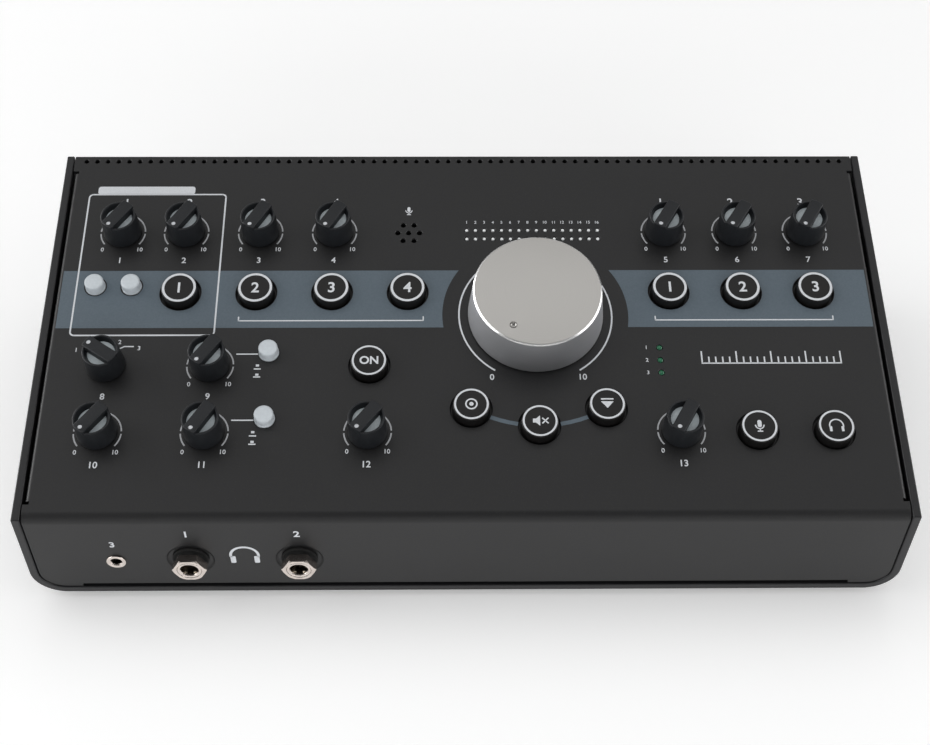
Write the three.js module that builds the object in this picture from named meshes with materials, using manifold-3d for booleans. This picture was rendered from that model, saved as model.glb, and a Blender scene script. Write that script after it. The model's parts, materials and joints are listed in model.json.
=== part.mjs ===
// Studio monitor controller: a sloped metal case with turning knobs, push buttons, a level meter,
// headphone sockets in front and line, microphone, data and power sockets behind.
// Sizes are in millimetres. X runs to the right, Y to the back and Z up. The origin is on the floor,
// in the middle of the object's outer box.

import * as THREE from 'three';
import { mergeVertices } from 'three/addons/utils/BufferGeometryUtils.js';
import Module from 'manifold-3d';

const wasm = await Module();
wasm.setup();

// Case
const caseWidth = 320;
const caseDepth = 157;
const frontHeight = 44.7; // of the side walls, at the front edge of the slope
const rearHeight = 77.8;
const shellWall = 3;
const shellCornerRadius = 12;
const shellFrontRadius = 1;
const shellRearRadius = 2;

// Top cover, folded from sheet
const sheet = 1.5; // also the rear panel
const fasciaInset = 0.4; // behind the shell's front rim
const rearReach = 0.3; // past the shell's rear rim
const coverSideGap = 0.45;
const grooveWidth = 0.95; // between the bent side flanges and the walls
const flangeRadius = 1.7;
const flangeDepth = 9;
const frontBendRadius = 3.8;
const rearBendRadius = 1;
const rearLip = 9;
const notchWidth = 1.3;
const notchFromFront = 6.9; // middle of the relief notch, along the slope
const notchFromRear = 8.4;
const slotHeight = 1.5; // slot under the fascia
const slotFromSide = 18;
const ventRadius = 0.95;
const ventPitch = 4.28;
const ventFromSide = 8.1;
const ventFromRear = 2.8; // along the slope

// Clearances
const seatGap = 0.3; // between pieces that rest on each other
const runningGap = 0.3; // round stems and shafts that move
const overrun = 1; // how far a cutter reaches past what it cuts

// Places on the panel: columns from its middle line as shares of the case's width, rows up the
// slope from the front edge as shares of the slope's length
const outerFromSide = 26.5;
const outputCount = 3;
const outputPitchShare = 0.0869;
const sourceCount = 4;
const firstSourceShare = -0.34;
const sourcePitchShare = 0.0903;
const phonesKnobShare = -0.2969;
const phonesCapShare = -0.23;
const phonesCapRise = 5.6;
const studioShare = -0.1125;
const firstCapShare = -0.4419;
const capPitchShare = 0.0431;
const volumeColumnShare = 0.0825;
const micColumnShare = -0.0688;
const statusColumnShare = 0.2266;
const talkRowShare = 0.2156;
const phonesRowShare = 0.3895;
const statusRowShare = 0.402;
const volumeRowShare = 0.5266;
const sourceRowShare = 0.5896;
const sourceCapRowShare = 0.6077;
const meterRowShare = 0.7582;
const micRowShare = 0.7629;
const gainRowShare = 0.7641;
const volumeButtonCircle = 47.5; // radius on which the three buttons below the large knob lie
const volumeButtonAngle = 31.4;

// Small knobs
const knobBaseRadius = 7.35;
const knobTopRadius = 6.65;
const knobHeight = 11.4; // of the rim above the panel
const knobLift = 0.8;
const knobRim = 1;
const knobDish = 2.3;
const pointerWidth = 4.9;
const pointerRise = 1.2;
const pointerReach = 0.2; // past the rim at both ends
const shaftRadius = 3;
const shaftDepth = 8; // below the panel
// Pointer of each small knob at rest, clockwise from straight down
const knobRestAngles = {
  gain_knob_1: 35,
  gain_knob_2: 33,
  input_trim_knob_1: 31,
  input_trim_knob_2: 31,
  output_trim_knob_1: 31,
  output_trim_knob_2: 33,
  output_trim_knob_3: 30,
  cue_source_knob: 124,
  phones_knob_1: 35,
  phones_knob_2: 32,
  direct_mix_knob: 38,
  studio_level_knob: 38.5,
  talkback_level_knob: 30,
};

// Large knob
const volumeBaseRadius = 25.6;
const volumeTopRadius = 24;
const volumeHeight = 17.3;
const volumeLift = 0.8;
const volumeChamfer = 0.8;
const volumeWall = 3;
const volumeRoof = 4;
const volumeHubRadius = 6;
const volumeHubLift = 2;
const volumeRestAngle = 31.5;
const dimpleRadius = 1.6;
const dimpleDepth = 0.9;
const dimpleFromEdge = 6.2;

// Push buttons and small switch caps
const buttonRadius = 7.25; // at the panel
const buttonTopRadius = 6.75;
const buttonEdge = 0.45;
const buttonHeight = 3.8;
const buttonHoleRadius = 7.8;
const buttonFlangeRadius = 8.8;
const flangeThickness = 1;
const buttonStemRadius = 2;
const buttonStemDepth = 10;
const buttonTravel = 1.6;
const capRadius = 3.6;
const capEdge = 0.4;
const capHeight = 4;
const capHoleRadius = 4;
const capFlangeRadius = 4.7;
const capStemRadius = 1.4;
const capTravel = 2.2;
const shaftHoleRadius = 3.6;

// Level meter, talkback microphone and status lamps
const meterColumns = 16;
const meterPitch = 3.42;
const meterRowPitch = 4.1;
const meterMargin = 2.5;
const meterHoleRadius = 1;
const lensRise = 0.25;
const micHolePitch = 4.25;
const micRingHoles = 6;
const micHoleRadius = 0.95;
const micRadius = 4.85;
const micBootRadius = 6.2;
const micHeight = 6.5;
const statusPitch = 5.4;
const statusLensRadius = 0.9;
const statusHoleRadius = 1.2;
const statusBlockWidth = 4;

// Boards
const boardThickness = 1.6;
const controlBoardDepth = 14; // its upper face below the panel
const controlBoardSide = 10; // from the shell's outside
const controlBoardFront = 10;
const controlBoardRear = 18;
const potSize = 11;
const volumePotSize = 14;
const switchSize = 12;
const switchHeight = 6.5;
const capSwitchSize = 8;
const capSwitchHeight = 6.5;
const mainBoardSide = 8;
const mainBoardFront = 4.5;
const mainBoardRear = 3;
const standoffRadius = 3;
const standoffSide = 18;
const standoffFront = 40;
const standoffRear = 22;
const capacitorRadius = 5;
const capacitorHeight = 12;
const capacitorPitch = 16;
const capacitorCount = 6;
const capacitorRowShare = 0.395; // of the case's depth
const chipWidth = 14;
const chipHeight = 2.5;
const chipPitch = 52;
const chipCount = 5;
const chipRowShare = 0.56;
const heatSinkWidth = 42;
const heatSinkDepth = 12;
const heatSinkHeight = 20;
const heatSinkFromSide = 42;

// Headphone and line sockets
const jackHeightShare = 0.4497; // socket axis above the case's underside, of the front height
const jackBore = 3.3;
const jackBoreDepth = 20;
const jackBodyWidth = 15.5;
const jackBodyDepth = 22;
const jackBodyHeight = 14;
const jackThreadRadius = 4.4;
const phonesNose = 4.5; // in front of the case
const nutSides = 6;
const nutAcrossFlats = 11;
const nutThickness = 2.1;
const nutProud = 0.1;
const nutChamfer = 0.45;
const recessRadius = 8.7;
const recessDepth = 0.8;
const recessRim = 1.4;
const phonesCount = 2;
const firstPhonesShare = -0.3131; // of the case's width, as all socket columns
const phonesPitchShare = 0.1231;
const auxShare = -0.3975;
const auxDrop = 0.8; // below the headphone sockets
const auxRingRadius = 3.55;
const auxNeckRadius = 2.8;
const auxBore = 1.9;
const auxProud = 0.6;
const auxBodyWidth = 8;
const auxBodyDepth = 14;
const auxBodyHeight = 10.4;
const linePairs = 6;
const lineNose = 3.2; // behind the rear panel
const lineRise = 17; // between the two sockets of a pair
const firstLineShare = -0.1938;
const linePitchShare = 0.0656;
const lineBodyMargin = 7.3;

// Microphone sockets, data socket, power inlet and power switch
const comboFlangeWidth = 26;
const comboFlangeHeight = 31;
const comboFlangeThickness = 1.8;
const comboFlangeRadius = 3;
const comboRadius = 11.8;
const comboMouthRadius = 10.2;
const comboMouthDepth = 5;
const comboCoreRadius = 7.4;
const comboPinRadius = 1.25;
const comboPinCircle = 5.3;
const comboDepth = 24;
const comboHeight = 31;
const comboCount = 2;
const comboFromSide = 27;
const comboPitchShare = 0.1063;
const comboBlockWidth = 22;
const usbWidth = 12;
const usbHeight = 11;
const usbDepth = 16;
const usbProud = 0.4;
const usbWall = 1.3;
const usbCavity = 9;
const usbTongueWidth = 5.6;
const usbTongueHeight = 3.2;
const usbTongueInset = 1.2;
const usbShare = 0.2188;
const inletRadius = 4.6;
const inletBore = 3.1;
const inletPinRadius = 1;
const inletProud = 0.5;
const inletDepth = 14;
const inletWidth = 11;
const inletAxisHeight = 7;
const inletShare = 0.2969;
const switchFromSide = 32;
const switchAxisHeight = 32;
const bezelWidth = 21;
const bezelHeight = 15;
const bezelThickness = 1.6;
const bezelRadius = 1.5;
const housingWidth = 18.6;
const housingHeight = 12.6;
const housingDepth = 18;
const rockerWidth = 15.6;
const rockerRadius = 5.3;
const rockerPivotDepth = 2;
const rockerFace = 3.2; // from the pivot to the ends of the face
const rockerSwing = 8; // each way from level
const pivotPinRadius = 1;
const pivotPinLength = 0.8;
const rockerDepth = 3;

// Feet
const footRadius = 8;
const footTopRadius = 8.6;
const footHeight = 4;
const footBore = 1.7;
const footRecessRadius = 4;
const footRecessDepth = 2.2;
const footFromSide = 26;
const footFromFront = 20;
const footFromRear = 22;

// Facets
const arcSteps = 4;
const bendSteps = 2; // round the cover's front and rear bends
const holeSides = 18;
const knobSides = 12;
const boreSides = 12;
const hiddenSides = 8;
const tinySides = 6;
const ventSides = 4;
const volumeSides = 40;

// Sizes that follow from the ones above
const slope = Math.atan2(rearHeight - frontHeight, caseDepth);
const slopeSine = Math.sin(slope);
const slopeCosine = Math.cos(slope);
const slopeLength = Math.hypot(caseDepth, rearHeight - frontHeight);
const innerHalf = caseWidth / 2 - shellWall;
const innerCornerRadius = shellCornerRadius - shellWall;
const coverHalf = innerHalf - coverSideGap;
const rearFace = caseDepth + rearReach;
const rearPanelFace = rearFace - sheet - seatGap;
const underCover = -sheet - seatGap; // highest level of what sits below the cover
const boardTop = -controlBoardDepth;
const jackHeight = frontHeight * jackHeightShare;
const onMainBoard = jackHeight - jackBodyHeight / 2;
const mainBoardTop = onMainBoard - seatGap;
const mainBoardFloor = mainBoardTop - boardThickness;
const nutFace = -phonesNose - nutProud;
const lineFace = rearPanelFace + lineNose;

// Columns and rows
const row = (count, first, pitchShare) =>
  Array.from({ length: count }, (_, i) => first + i * pitchShare * caseWidth);
const outerColumn = caseWidth / 2 - outerFromSide;
const firstOutputColumn = outerColumn - (outputCount - 1) * outputPitchShare * caseWidth;
const firstSourceColumn = firstSourceShare * caseWidth;
const [sourceA, sourceB, sourceC, sourceD] = row(sourceCount, firstSourceColumn, sourcePitchShare);
const [outputA, outputB, outputC] = row(outputCount, firstOutputColumn, outputPitchShare);
const phonesColumns = row(phonesCount, firstPhonesShare * caseWidth, phonesPitchShare);
const comboColumns = row(comboCount, comboFromSide - caseWidth / 2, comboPitchShare);
const lineColumns = row(linePairs, firstLineShare * caseWidth, linePitchShare);
const phonesKnobColumn = phonesKnobShare * caseWidth;
const phonesCapColumn = phonesCapShare * caseWidth;
const studioColumn = studioShare * caseWidth;
const firstCapColumn = firstCapShare * caseWidth;
const capPitch = capPitchShare * caseWidth;
const volumeColumn = volumeColumnShare * caseWidth;
const micColumn = micColumnShare * caseWidth;
const statusColumn = statusColumnShare * caseWidth;
const auxColumn = auxShare * caseWidth;
const usbColumn = usbShare * caseWidth;
const inletColumn = inletShare * caseWidth;
const switchColumn = caseWidth / 2 - switchFromSide;
const auxHeight = jackHeight - auxDrop;
const talkRow = talkRowShare * slopeLength;
const phonesRow = phonesRowShare * slopeLength;
const statusRow = statusRowShare * slopeLength;
const volumeRow = volumeRowShare * slopeLength;
const sourceRow = sourceRowShare * slopeLength;
const sourceCapRow = sourceCapRowShare * slopeLength;
const meterRow = meterRowShare * slopeLength;
const micRow = micRowShare * slopeLength;
const gainRow = gainRowShare * slopeLength;

const knobPlaces = [
  ['gain_knob_1', -outerColumn, gainRow],
  ['gain_knob_2', sourceA, gainRow],
  ['input_trim_knob_1', sourceB, gainRow],
  ['input_trim_knob_2', sourceC, gainRow],
  ['output_trim_knob_1', outputA, gainRow],
  ['output_trim_knob_2', outputB, gainRow],
  ['output_trim_knob_3', outputC, gainRow],
  ['cue_source_knob', -outerColumn, phonesRow],
  ['phones_knob_1', phonesKnobColumn, phonesRow],
  ['direct_mix_knob', -outerColumn, talkRow],
  ['phones_knob_2', phonesKnobColumn, talkRow],
  ['studio_level_knob', studioColumn, talkRow],
  ['talkback_level_knob', outputA, talkRow],
];

const volumeButtonTurns = [-volumeButtonAngle, 0, volumeButtonAngle].map(THREE.MathUtils.degToRad);
const [monoPlace, mutePlace, dimPlace] = volumeButtonTurns.map((turn) => [
  volumeColumn + volumeButtonCircle * Math.sin(turn),
  volumeRow - volumeButtonCircle * Math.cos(turn),
]);

const buttonPlaces = [
  ['source_button_1', sourceA, sourceRow],
  ['source_button_2', sourceB, sourceRow],
  ['source_button_3', sourceC, sourceRow],
  ['source_button_4', sourceD, sourceRow],
  ['output_button_1', outputA, sourceRow],
  ['output_button_2', outputB, sourceRow],
  ['output_button_3', outputC, sourceRow],
  ['studio_button', studioColumn, phonesRow],
  ['mono_button', ...monoPlace],
  ['mute_button', ...mutePlace],
  ['dim_button', ...dimPlace],
  ['talk_to_track_button', outputB, talkRow],
  ['talk_to_cue_button', outputC, talkRow],
];

const capPlaces = [
  ['phantom_switch_cap', firstCapColumn, sourceCapRow],
  ['stereo_switch_cap', firstCapColumn + capPitch, sourceCapRow],
  ['phones_switch_cap_1', phonesCapColumn, phonesRow + phonesCapRise],
  ['phones_switch_cap_2', phonesCapColumn, talkRow + phonesCapRise],
];

const finishes = {
  cover: { color: 0x333334, roughness: 0.6, metalness: 0.25 },
  shell: { color: 0x3b3c3e, roughness: 0.6, metalness: 0.25 },
  knob: { color: 0x26282b, roughness: 0.5, metalness: 0 },
  volume: { color: 0xb3b2ae, roughness: 0.35, metalness: 1 },
  button: { color: 0x1a1b1c, roughness: 0.35, metalness: 0 },
  cap: { color: 0xc5ccd2, roughness: 0.45, metalness: 0 },
  nut: { color: 0xc8bdb5, roughness: 0.25, metalness: 1 },
  socket: { color: 0x161617, roughness: 0.55, metalness: 0 },
  board: { color: 0x1d4a2c, roughness: 0.6, metalness: 0 },
  rubber: { color: 0x1b1b1b, roughness: 0.9, metalness: 0 },
  lens: { color: 0x5f7a55, roughness: 0.3, metalness: 0 },
  steel: { color: 0xa8a8a6, roughness: 0.35, metalness: 1 },
};

// Shapes

function outline(corners, steps = arcSteps) {
  const points = [];
  corners.forEach(([x, y, radius = 0], i) => {
    const corner = new THREE.Vector2(x, y);
    if (radius <= 0) {
      points.push(corner);
      return;
    }
    const before = new THREE.Vector2(...corners[(i + corners.length - 1) % corners.length]);
    const after = new THREE.Vector2(...corners[(i + 1) % corners.length]);
    const inward = before.sub(corner).normalize();
    const outward = after.sub(corner).normalize();
    const halfAngle = Math.acos(inward.dot(outward)) / 2;
    const centre = inward.clone().add(outward).setLength(radius / Math.sin(halfAngle)).add(corner);
    const start = inward.setLength(radius / Math.tan(halfAngle)).add(corner).sub(centre);
    const end = outward.setLength(radius / Math.tan(halfAngle)).add(corner).sub(centre);
    const sweep = Math.atan2(start.cross(end), start.dot(end));
    for (let step = 0; step <= steps; step += 1) {
      const point = start.clone().rotateAround(new THREE.Vector2(), (sweep * step) / steps);
      points.push(point.add(centre));
    }
  });
  return new THREE.Shape(points);
}

function prismZ(shape, low, high) {
  const geometry = new THREE.ExtrudeGeometry(shape, { depth: high - low, bevelEnabled: false });
  return geometry.translate(0, 0, low);
}

// A shape drawn in X and Z, drawn out along Y
function prismY(shape, front, back) {
  return prismZ(shape, -back, -front).rotateX(Math.PI / 2);
}

// A shape drawn in Y and Z, drawn out along X
function prismX(shape, left, right) {
  return prismZ(shape, left, right).rotateX(Math.PI / 2).rotateZ(Math.PI / 2);
}

function box(left, right, front, back, low, high) {
  const geometry = new THREE.BoxGeometry(right - left, back - front, high - low);
  return geometry.translate((left + right) / 2, (front + back) / 2, (low + high) / 2);
}

function rod(radius, low, high, sides = holeSides) {
  const geometry = new THREE.CylinderGeometry(radius, radius, high - low, sides);
  return geometry.rotateX(Math.PI / 2).translate(0, 0, (low + high) / 2);
}

function rodAlongY(radius, front, back, sides = holeSides) {
  const geometry = new THREE.CylinderGeometry(radius, radius, back - front, sides);
  return geometry.translate(0, (front + back) / 2, 0);
}

// A profile of [radius, height] points, turned about the Z axis
function turned(profile, sides) {
  const points = profile.map(([radius, height]) => new THREE.Vector2(radius, height));
  return new THREE.LatheGeometry(points, sides).rotateX(Math.PI / 2);
}

function solid(shape) {
  if (shape instanceof wasm.Manifold) return shape;
  const bare = shape.clone();
  bare.deleteAttribute('normal');
  bare.deleteAttribute('uv');
  const welded = mergeVertices(bare);
  const index = welded.index.array;
  const triangles = [];
  for (let i = 0; i < index.length; i += 3) {
    const [a, b, c] = index.slice(i, i + 3);
    if (a !== b && b !== c && c !== a) triangles.push(a, b, c);
  }
  const vertProperties = Float32Array.from(welded.attributes.position.array);
  const triVerts = Uint32Array.from(triangles);
  return new wasm.Manifold(new wasm.Mesh({ numProp: 3, vertProperties, triVerts }));
}

function join(...shapes) {
  return shapes.map(solid).reduce((whole, next) => whole.add(next));
}

function cut(body, ...tools) {
  return solid(body).subtract(join(...tools));
}

function common(first, second) {
  return solid(first).intersect(solid(second));
}

function addPiece(parent, name, shape, finish, [x, y, z] = [0, 0, 0], turn = 0) {
  const { vertProperties, triVerts } = solid(shape).getMesh();
  const geometry = new THREE.BufferGeometry();
  geometry.setAttribute('position', new THREE.BufferAttribute(vertProperties, 3));
  geometry.setIndex(new THREE.BufferAttribute(triVerts, 1));
  geometry.computeVertexNormals();
  const mesh = new THREE.Mesh(geometry, new THREE.MeshStandardMaterial({ ...finish, flatShading: true }));
  mesh.name = name;
  mesh.position.set(x, y, z);
  mesh.rotation.z = turn;
  parent.add(mesh);
}

// From the case's frame into the panel's
function toPanel(geometry) {
  return geometry.translate(0, 0, -frontHeight).rotateX(-slope);
}

// The panel's [along the slope, above it] of a point at [back, up] in the case
function onPanel(back, up) {
  const rise = up - frontHeight;
  return [back * slopeCosine + rise * slopeSine, rise * slopeCosine - back * slopeSine];
}

// How far along the slope a level in the panel's frame meets a plane at one depth of the case
function alongSlope(back, level) {
  return (back + level * slopeSine) / slopeCosine;
}

// Case

function bottomShell() {
  const half = caseWidth / 2;
  const top = rearHeight + overrun;
  const section = outline([
    [-half, top],
    [-half, 0, shellCornerRadius],
    [half, 0, shellCornerRadius],
    [half, top],
    [innerHalf, top],
    [innerHalf, shellWall, innerCornerRadius],
    [-innerHalf, shellWall, innerCornerRadius],
    [-innerHalf, top],
  ]);
  const side = outline([
    [0, -overrun],
    [0, frontHeight, shellFrontRadius],
    [caseDepth, rearHeight, shellRearRadius],
    [caseDepth, -overrun],
  ]);
  const wrap = common(
    prismY(section, 0, caseDepth),
    prismX(side, -half - overrun, half + overrun),
  );
  const standoffColumns = [standoffSide - half, 0, half - standoffSide];
  const standoffs = standoffColumns.flatMap((x) => [standoffFront, caseDepth - standoffRear].map((y) =>
    rod(standoffRadius, shellWall - sheet, mainBoardFloor - seatGap, hiddenSides).translate(x, y, 0)));
  const screwHoles = footPlaces().map(([x, y]) =>
    rod(footBore, -overrun, shellWall + overrun, hiddenSides).translate(x, y, 0));
  return cut(join(wrap, ...standoffs), ...screwHoles);
}

function coverSheet() {
  const lipBottom = rearHeight - rearLip;
  const section = outline([
    onPanel(fasciaInset, 0),
    [alongSlope(fasciaInset, 0), 0, frontBendRadius],
    [alongSlope(rearFace, 0), 0, rearBendRadius],
    onPanel(rearFace, lipBottom),
    onPanel(rearFace - sheet, lipBottom),
    [alongSlope(rearFace - sheet, -sheet), -sheet],
    [alongSlope(fasciaInset + sheet, -sheet), -sheet, frontBendRadius - sheet],
    onPanel(fasciaInset + sheet, 0),
  ], bendSteps);
  const low = shellWall + coverSideGap;
  const slotEnd = caseWidth / 2 - slotFromSide;
  const frontOutline = outline([
    [-coverHalf, rearHeight + overrun],
    [-coverHalf, low, innerCornerRadius - coverSideGap],
    [-slotEnd, low],
    [-slotEnd, low + slotHeight],
    [slotEnd, low + slotHeight],
    [slotEnd, low],
    [coverHalf, low, innerCornerRadius - coverSideGap],
    [coverHalf, rearHeight + overrun],
  ]);
  return common(
    prismX(section, -coverHalf, coverHalf),
    toPanel(prismY(frontOutline, -overrun, caseDepth + overrun)),
  );
}

function coverFlange(side) {
  const outside = innerHalf - grooveWidth;
  const start = outside - flangeRadius - overrun;
  const section = outline([
    [side * start, 0],
    [side * outside, 0, flangeRadius],
    [side * outside, -flangeDepth],
    [side * (outside - sheet), -flangeDepth],
    [side * (outside - sheet), -sheet, flangeRadius - sheet],
    [side * start, -sheet],
  ]);
  const front = notchFromFront + notchWidth / 2;
  const back = slopeLength - notchFromRear - notchWidth / 2;
  return prismY(section, front, back);
}

function flangeStrip(side) {
  const edges = [side * (innerHalf - grooveWidth - flangeRadius), side * (coverHalf + overrun)];
  const front = notchFromFront - notchWidth / 2;
  const back = slopeLength - notchFromRear + notchWidth / 2;
  return box(Math.min(...edges), Math.max(...edges), front, back, -sheet - overrun, overrun);
}

function panelHole(radius, column, row, sides = holeSides) {
  return rod(radius, -sheet - overrun, overrun, sides).translate(column, row, 0);
}

function meterPlaces() {
  const places = [];
  for (let i = 0; i < meterColumns; i += 1) {
    const column = volumeColumn + (i - (meterColumns - 1) / 2) * meterPitch;
    places.push([column, meterRow - meterRowPitch / 2], [column, meterRow + meterRowPitch / 2]);
  }
  return places;
}

function micHolePlaces() {
  const ring = Array.from({ length: micRingHoles }, (_, i) => (i * 2 * Math.PI) / micRingHoles);
  const around = ring.map((angle) => [
    micColumn + micHolePitch * Math.cos(angle),
    micRow + micHolePitch * Math.sin(angle),
  ]);
  return [[micColumn, micRow], ...around];
}

function statusPlaces() {
  return [-1, 0, 1].map((i) => [statusColumn, statusRow + i * statusPitch]);
}

function ventHoles() {
  const reach = caseWidth / 2 - ventFromSide;
  const count = Math.round((2 * reach) / ventPitch) + 1;
  const along = slopeLength - ventFromRear;
  return Array.from({ length: count }, (_, i) =>
    panelHole(ventRadius, -reach + (2 * reach * i) / (count - 1), along, ventSides));
}

function topCover() {
  const panelHoles = [
    ...knobPlaces.map(([, column, row]) => panelHole(shaftHoleRadius, column, row, hiddenSides)),
    panelHole(shaftHoleRadius, volumeColumn, volumeRow, hiddenSides),
    ...buttonPlaces.map(([, column, row]) => panelHole(buttonHoleRadius, column, row)),
    ...capPlaces.map(([, column, row]) => panelHole(capHoleRadius, column, row, boreSides)),
    ...meterPlaces().map(([column, row]) => panelHole(meterHoleRadius, column, row, tinySides)),
    ...statusPlaces().map(([column, row]) => panelHole(statusHoleRadius, column, row, tinySides)),
    ...micHolePlaces().map(([column, row]) => panelHole(micHoleRadius, column, row, tinySides)),
    ...ventHoles(),
  ];
  const dishBack = fasciaInset + recessDepth + sheet;
  const fasciaRod = (radius, front, back, column, height) =>
    toPanel(rodAlongY(radius, front, back).translate(column, 0, height));
  const dishes = phonesColumns.map((x) =>
    fasciaRod(recessRadius + recessRim, fasciaInset + sheet / 2, dishBack, x, jackHeight));
  const dishHollows = phonesColumns.map((x) =>
    fasciaRod(recessRadius, -overrun, fasciaInset + recessDepth, x, jackHeight));
  const threadHoles = phonesColumns.map((x) =>
    fasciaRod(jackThreadRadius + runningGap, -overrun, dishBack + overrun, x, jackHeight));
  const auxHole = fasciaRod(auxNeckRadius + runningGap, -overrun, fasciaInset + sheet + overrun,
    auxColumn, auxHeight);
  const folded = join(
    cut(coverSheet(), flangeStrip(-1), flangeStrip(1)),
    coverFlange(-1),
    coverFlange(1),
    ...dishes,
  );
  return cut(folded, ...panelHoles, ...dishHollows, ...threadHoles, auxHole);
}

function rearPanel() {
  const low = shellWall + coverSideGap;
  const top = frontHeight + (rearPanelFace * slopeSine - sheet) / slopeCosine - rearBendRadius;
  const radius = innerCornerRadius - coverSideGap;
  const plate = outline([
    [-coverHalf, top],
    [-coverHalf, low, radius],
    [coverHalf, low, radius],
    [coverHalf, top],
  ]);
  const front = rearPanelFace - sheet - overrun;
  const back = rearPanelFace + overrun;
  const lineHoles = lineColumns.flatMap((x) => [0, lineRise].map((rise) =>
    rodAlongY(jackThreadRadius + runningGap, front, back, boreSides).translate(x, 0, jackHeight + rise)));
  const comboHoles = comboColumns.map((x) =>
    rodAlongY(comboRadius + runningGap, front, back).translate(x, 0, comboHeight));
  const usbHole = box(-usbWidth / 2 - runningGap, usbWidth / 2 + runningGap, front, back,
    onMainBoard - runningGap, onMainBoard + usbHeight + runningGap).translate(usbColumn, 0, 0);
  const inletHole = rodAlongY(inletRadius + runningGap, front, back, boreSides)
    .translate(inletColumn, 0, onMainBoard + inletAxisHeight);
  const switchHole = box(-housingWidth / 2 - runningGap, housingWidth / 2 + runningGap, front, back,
    -housingHeight / 2 - runningGap, housingHeight / 2 + runningGap)
    .translate(switchColumn, 0, switchAxisHeight);
  return cut(prismY(plate, rearPanelFace - sheet, rearPanelFace),
    ...lineHoles, ...comboHoles, usbHole, inletHole, switchHole);
}

function footPlaces() {
  const side = caseWidth / 2 - footFromSide;
  return [
    [-side, footFromFront],
    [side, footFromFront],
    [-side, caseDepth - footFromRear],
    [side, caseDepth - footFromRear],
  ];
}

function foot() {
  return turned([
    [footBore, -footHeight + footRecessDepth],
    [footRecessRadius, -footHeight + footRecessDepth],
    [footRecessRadius, -footHeight],
    [footRadius, -footHeight],
    [footTopRadius, 0],
    [footBore, 0],
    [footBore, -footHeight + footRecessDepth],
  ], knobSides);
}

// Controls, each turned about the panel's normal with the panel's face at height zero

function smallKnob() {
  const body = turned([
    [0, -shaftDepth],
    [shaftRadius, -shaftDepth],
    [shaftRadius, knobLift],
    [knobBaseRadius, knobLift],
    [knobTopRadius, knobHeight],
    [knobTopRadius - knobRim, knobHeight],
    [knobTopRadius - knobRim, knobHeight - knobDish],
    [0, knobHeight - knobDish],
  ], knobSides);
  const bar = box(-pointerWidth / 2, pointerWidth / 2, -knobBaseRadius, knobBaseRadius,
    knobHeight - knobDish - knobRim, knobHeight + pointerRise);
  const barEnds = rod(knobTopRadius + pointerReach, 0, knobHeight + pointerRise + overrun, knobSides);
  return join(body, common(bar, barEnds));
}

function volumeKnob() {
  const roof = volumeHeight - volumeRoof;
  const body = turned([
    [0, -shaftDepth],
    [shaftRadius, -shaftDepth],
    [shaftRadius, volumeHubLift],
    [volumeHubRadius, volumeHubLift],
    [volumeHubRadius, roof],
    [volumeTopRadius - volumeWall, roof],
    [volumeBaseRadius - volumeWall, volumeLift],
    [volumeBaseRadius, volumeLift],
    [volumeTopRadius, volumeHeight - volumeChamfer],
    [volumeTopRadius - volumeChamfer, volumeHeight],
    [0, volumeHeight],
  ], volumeSides);
  const sphereRadius = (dimpleRadius ** 2 + dimpleDepth ** 2) / (2 * dimpleDepth);
  const dimple = new THREE.SphereGeometry(sphereRadius, knobSides, knobSides)
    .rotateX(Math.PI / 2)
    .translate(0, dimpleFromEdge - volumeTopRadius, volumeHeight + sphereRadius - dimpleDepth);
  return cut(body, dimple);
}

function button() {
  return turned([
    [0, -buttonStemDepth],
    [buttonStemRadius, -buttonStemDepth],
    [buttonStemRadius, underCover - flangeThickness],
    [buttonFlangeRadius, underCover - flangeThickness],
    [buttonFlangeRadius, underCover],
    [buttonRadius, underCover],
    [buttonTopRadius, buttonHeight - buttonEdge],
    [buttonTopRadius - buttonEdge, buttonHeight],
    [0, buttonHeight],
  ], knobSides);
}

function switchCap() {
  return turned([
    [0, -buttonStemDepth],
    [capStemRadius, -buttonStemDepth],
    [capStemRadius, underCover - flangeThickness],
    [capFlangeRadius, underCover - flangeThickness],
    [capFlangeRadius, underCover],
    [capRadius, underCover],
    [capRadius, capHeight - capEdge],
    [capRadius - capEdge, capHeight],
    [0, capHeight],
  ], boreSides);
}

// Pieces below the panel

function levelMeter() {
  const width = (meterColumns - 1) * meterPitch + 2 * meterMargin;
  const length = meterRowPitch + 2 * meterMargin;
  return box(-width / 2, width / 2, -length / 2, length / 2, boardTop + seatGap, underCover)
    .translate(volumeColumn, meterRow, 0);
}

function statusLamps() {
  const halfWidth = statusBlockWidth / 2;
  const halfLength = statusPitch + halfWidth;
  const block = box(-halfWidth, halfWidth, -halfLength, halfLength, boardTop + seatGap, underCover)
    .translate(statusColumn, statusRow, 0);
  const lenses = statusPlaces().map(([x, y]) =>
    rod(statusLensRadius, underCover - sheet, lensRise, tinySides).translate(x, y, 0));
  return join(block, ...lenses);
}

function talkbackMic() {
  return turned([
    [0, boardTop + seatGap],
    [micBootRadius, boardTop + seatGap],
    [micBootRadius, underCover - micHeight / 2],
    [micRadius, underCover - micHeight / 2],
    [micRadius, underCover],
    [0, underCover],
  ], knobSides);
}

function potBody(size, column, row) {
  const half = size / 2;
  return box(-half, half, -half, half, boardTop - boardThickness / 2, underCover).translate(column, row, 0);
}

function switchBody(size, height, column, row) {
  const half = size / 2;
  return box(-half, half, -half, half, boardTop - boardThickness / 2, boardTop + height)
    .translate(column, row, 0);
}

function blindBore(radius, tip, column, row) {
  return rod(radius + runningGap, -tip, overrun, hiddenSides).translate(column, row, 0);
}

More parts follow.
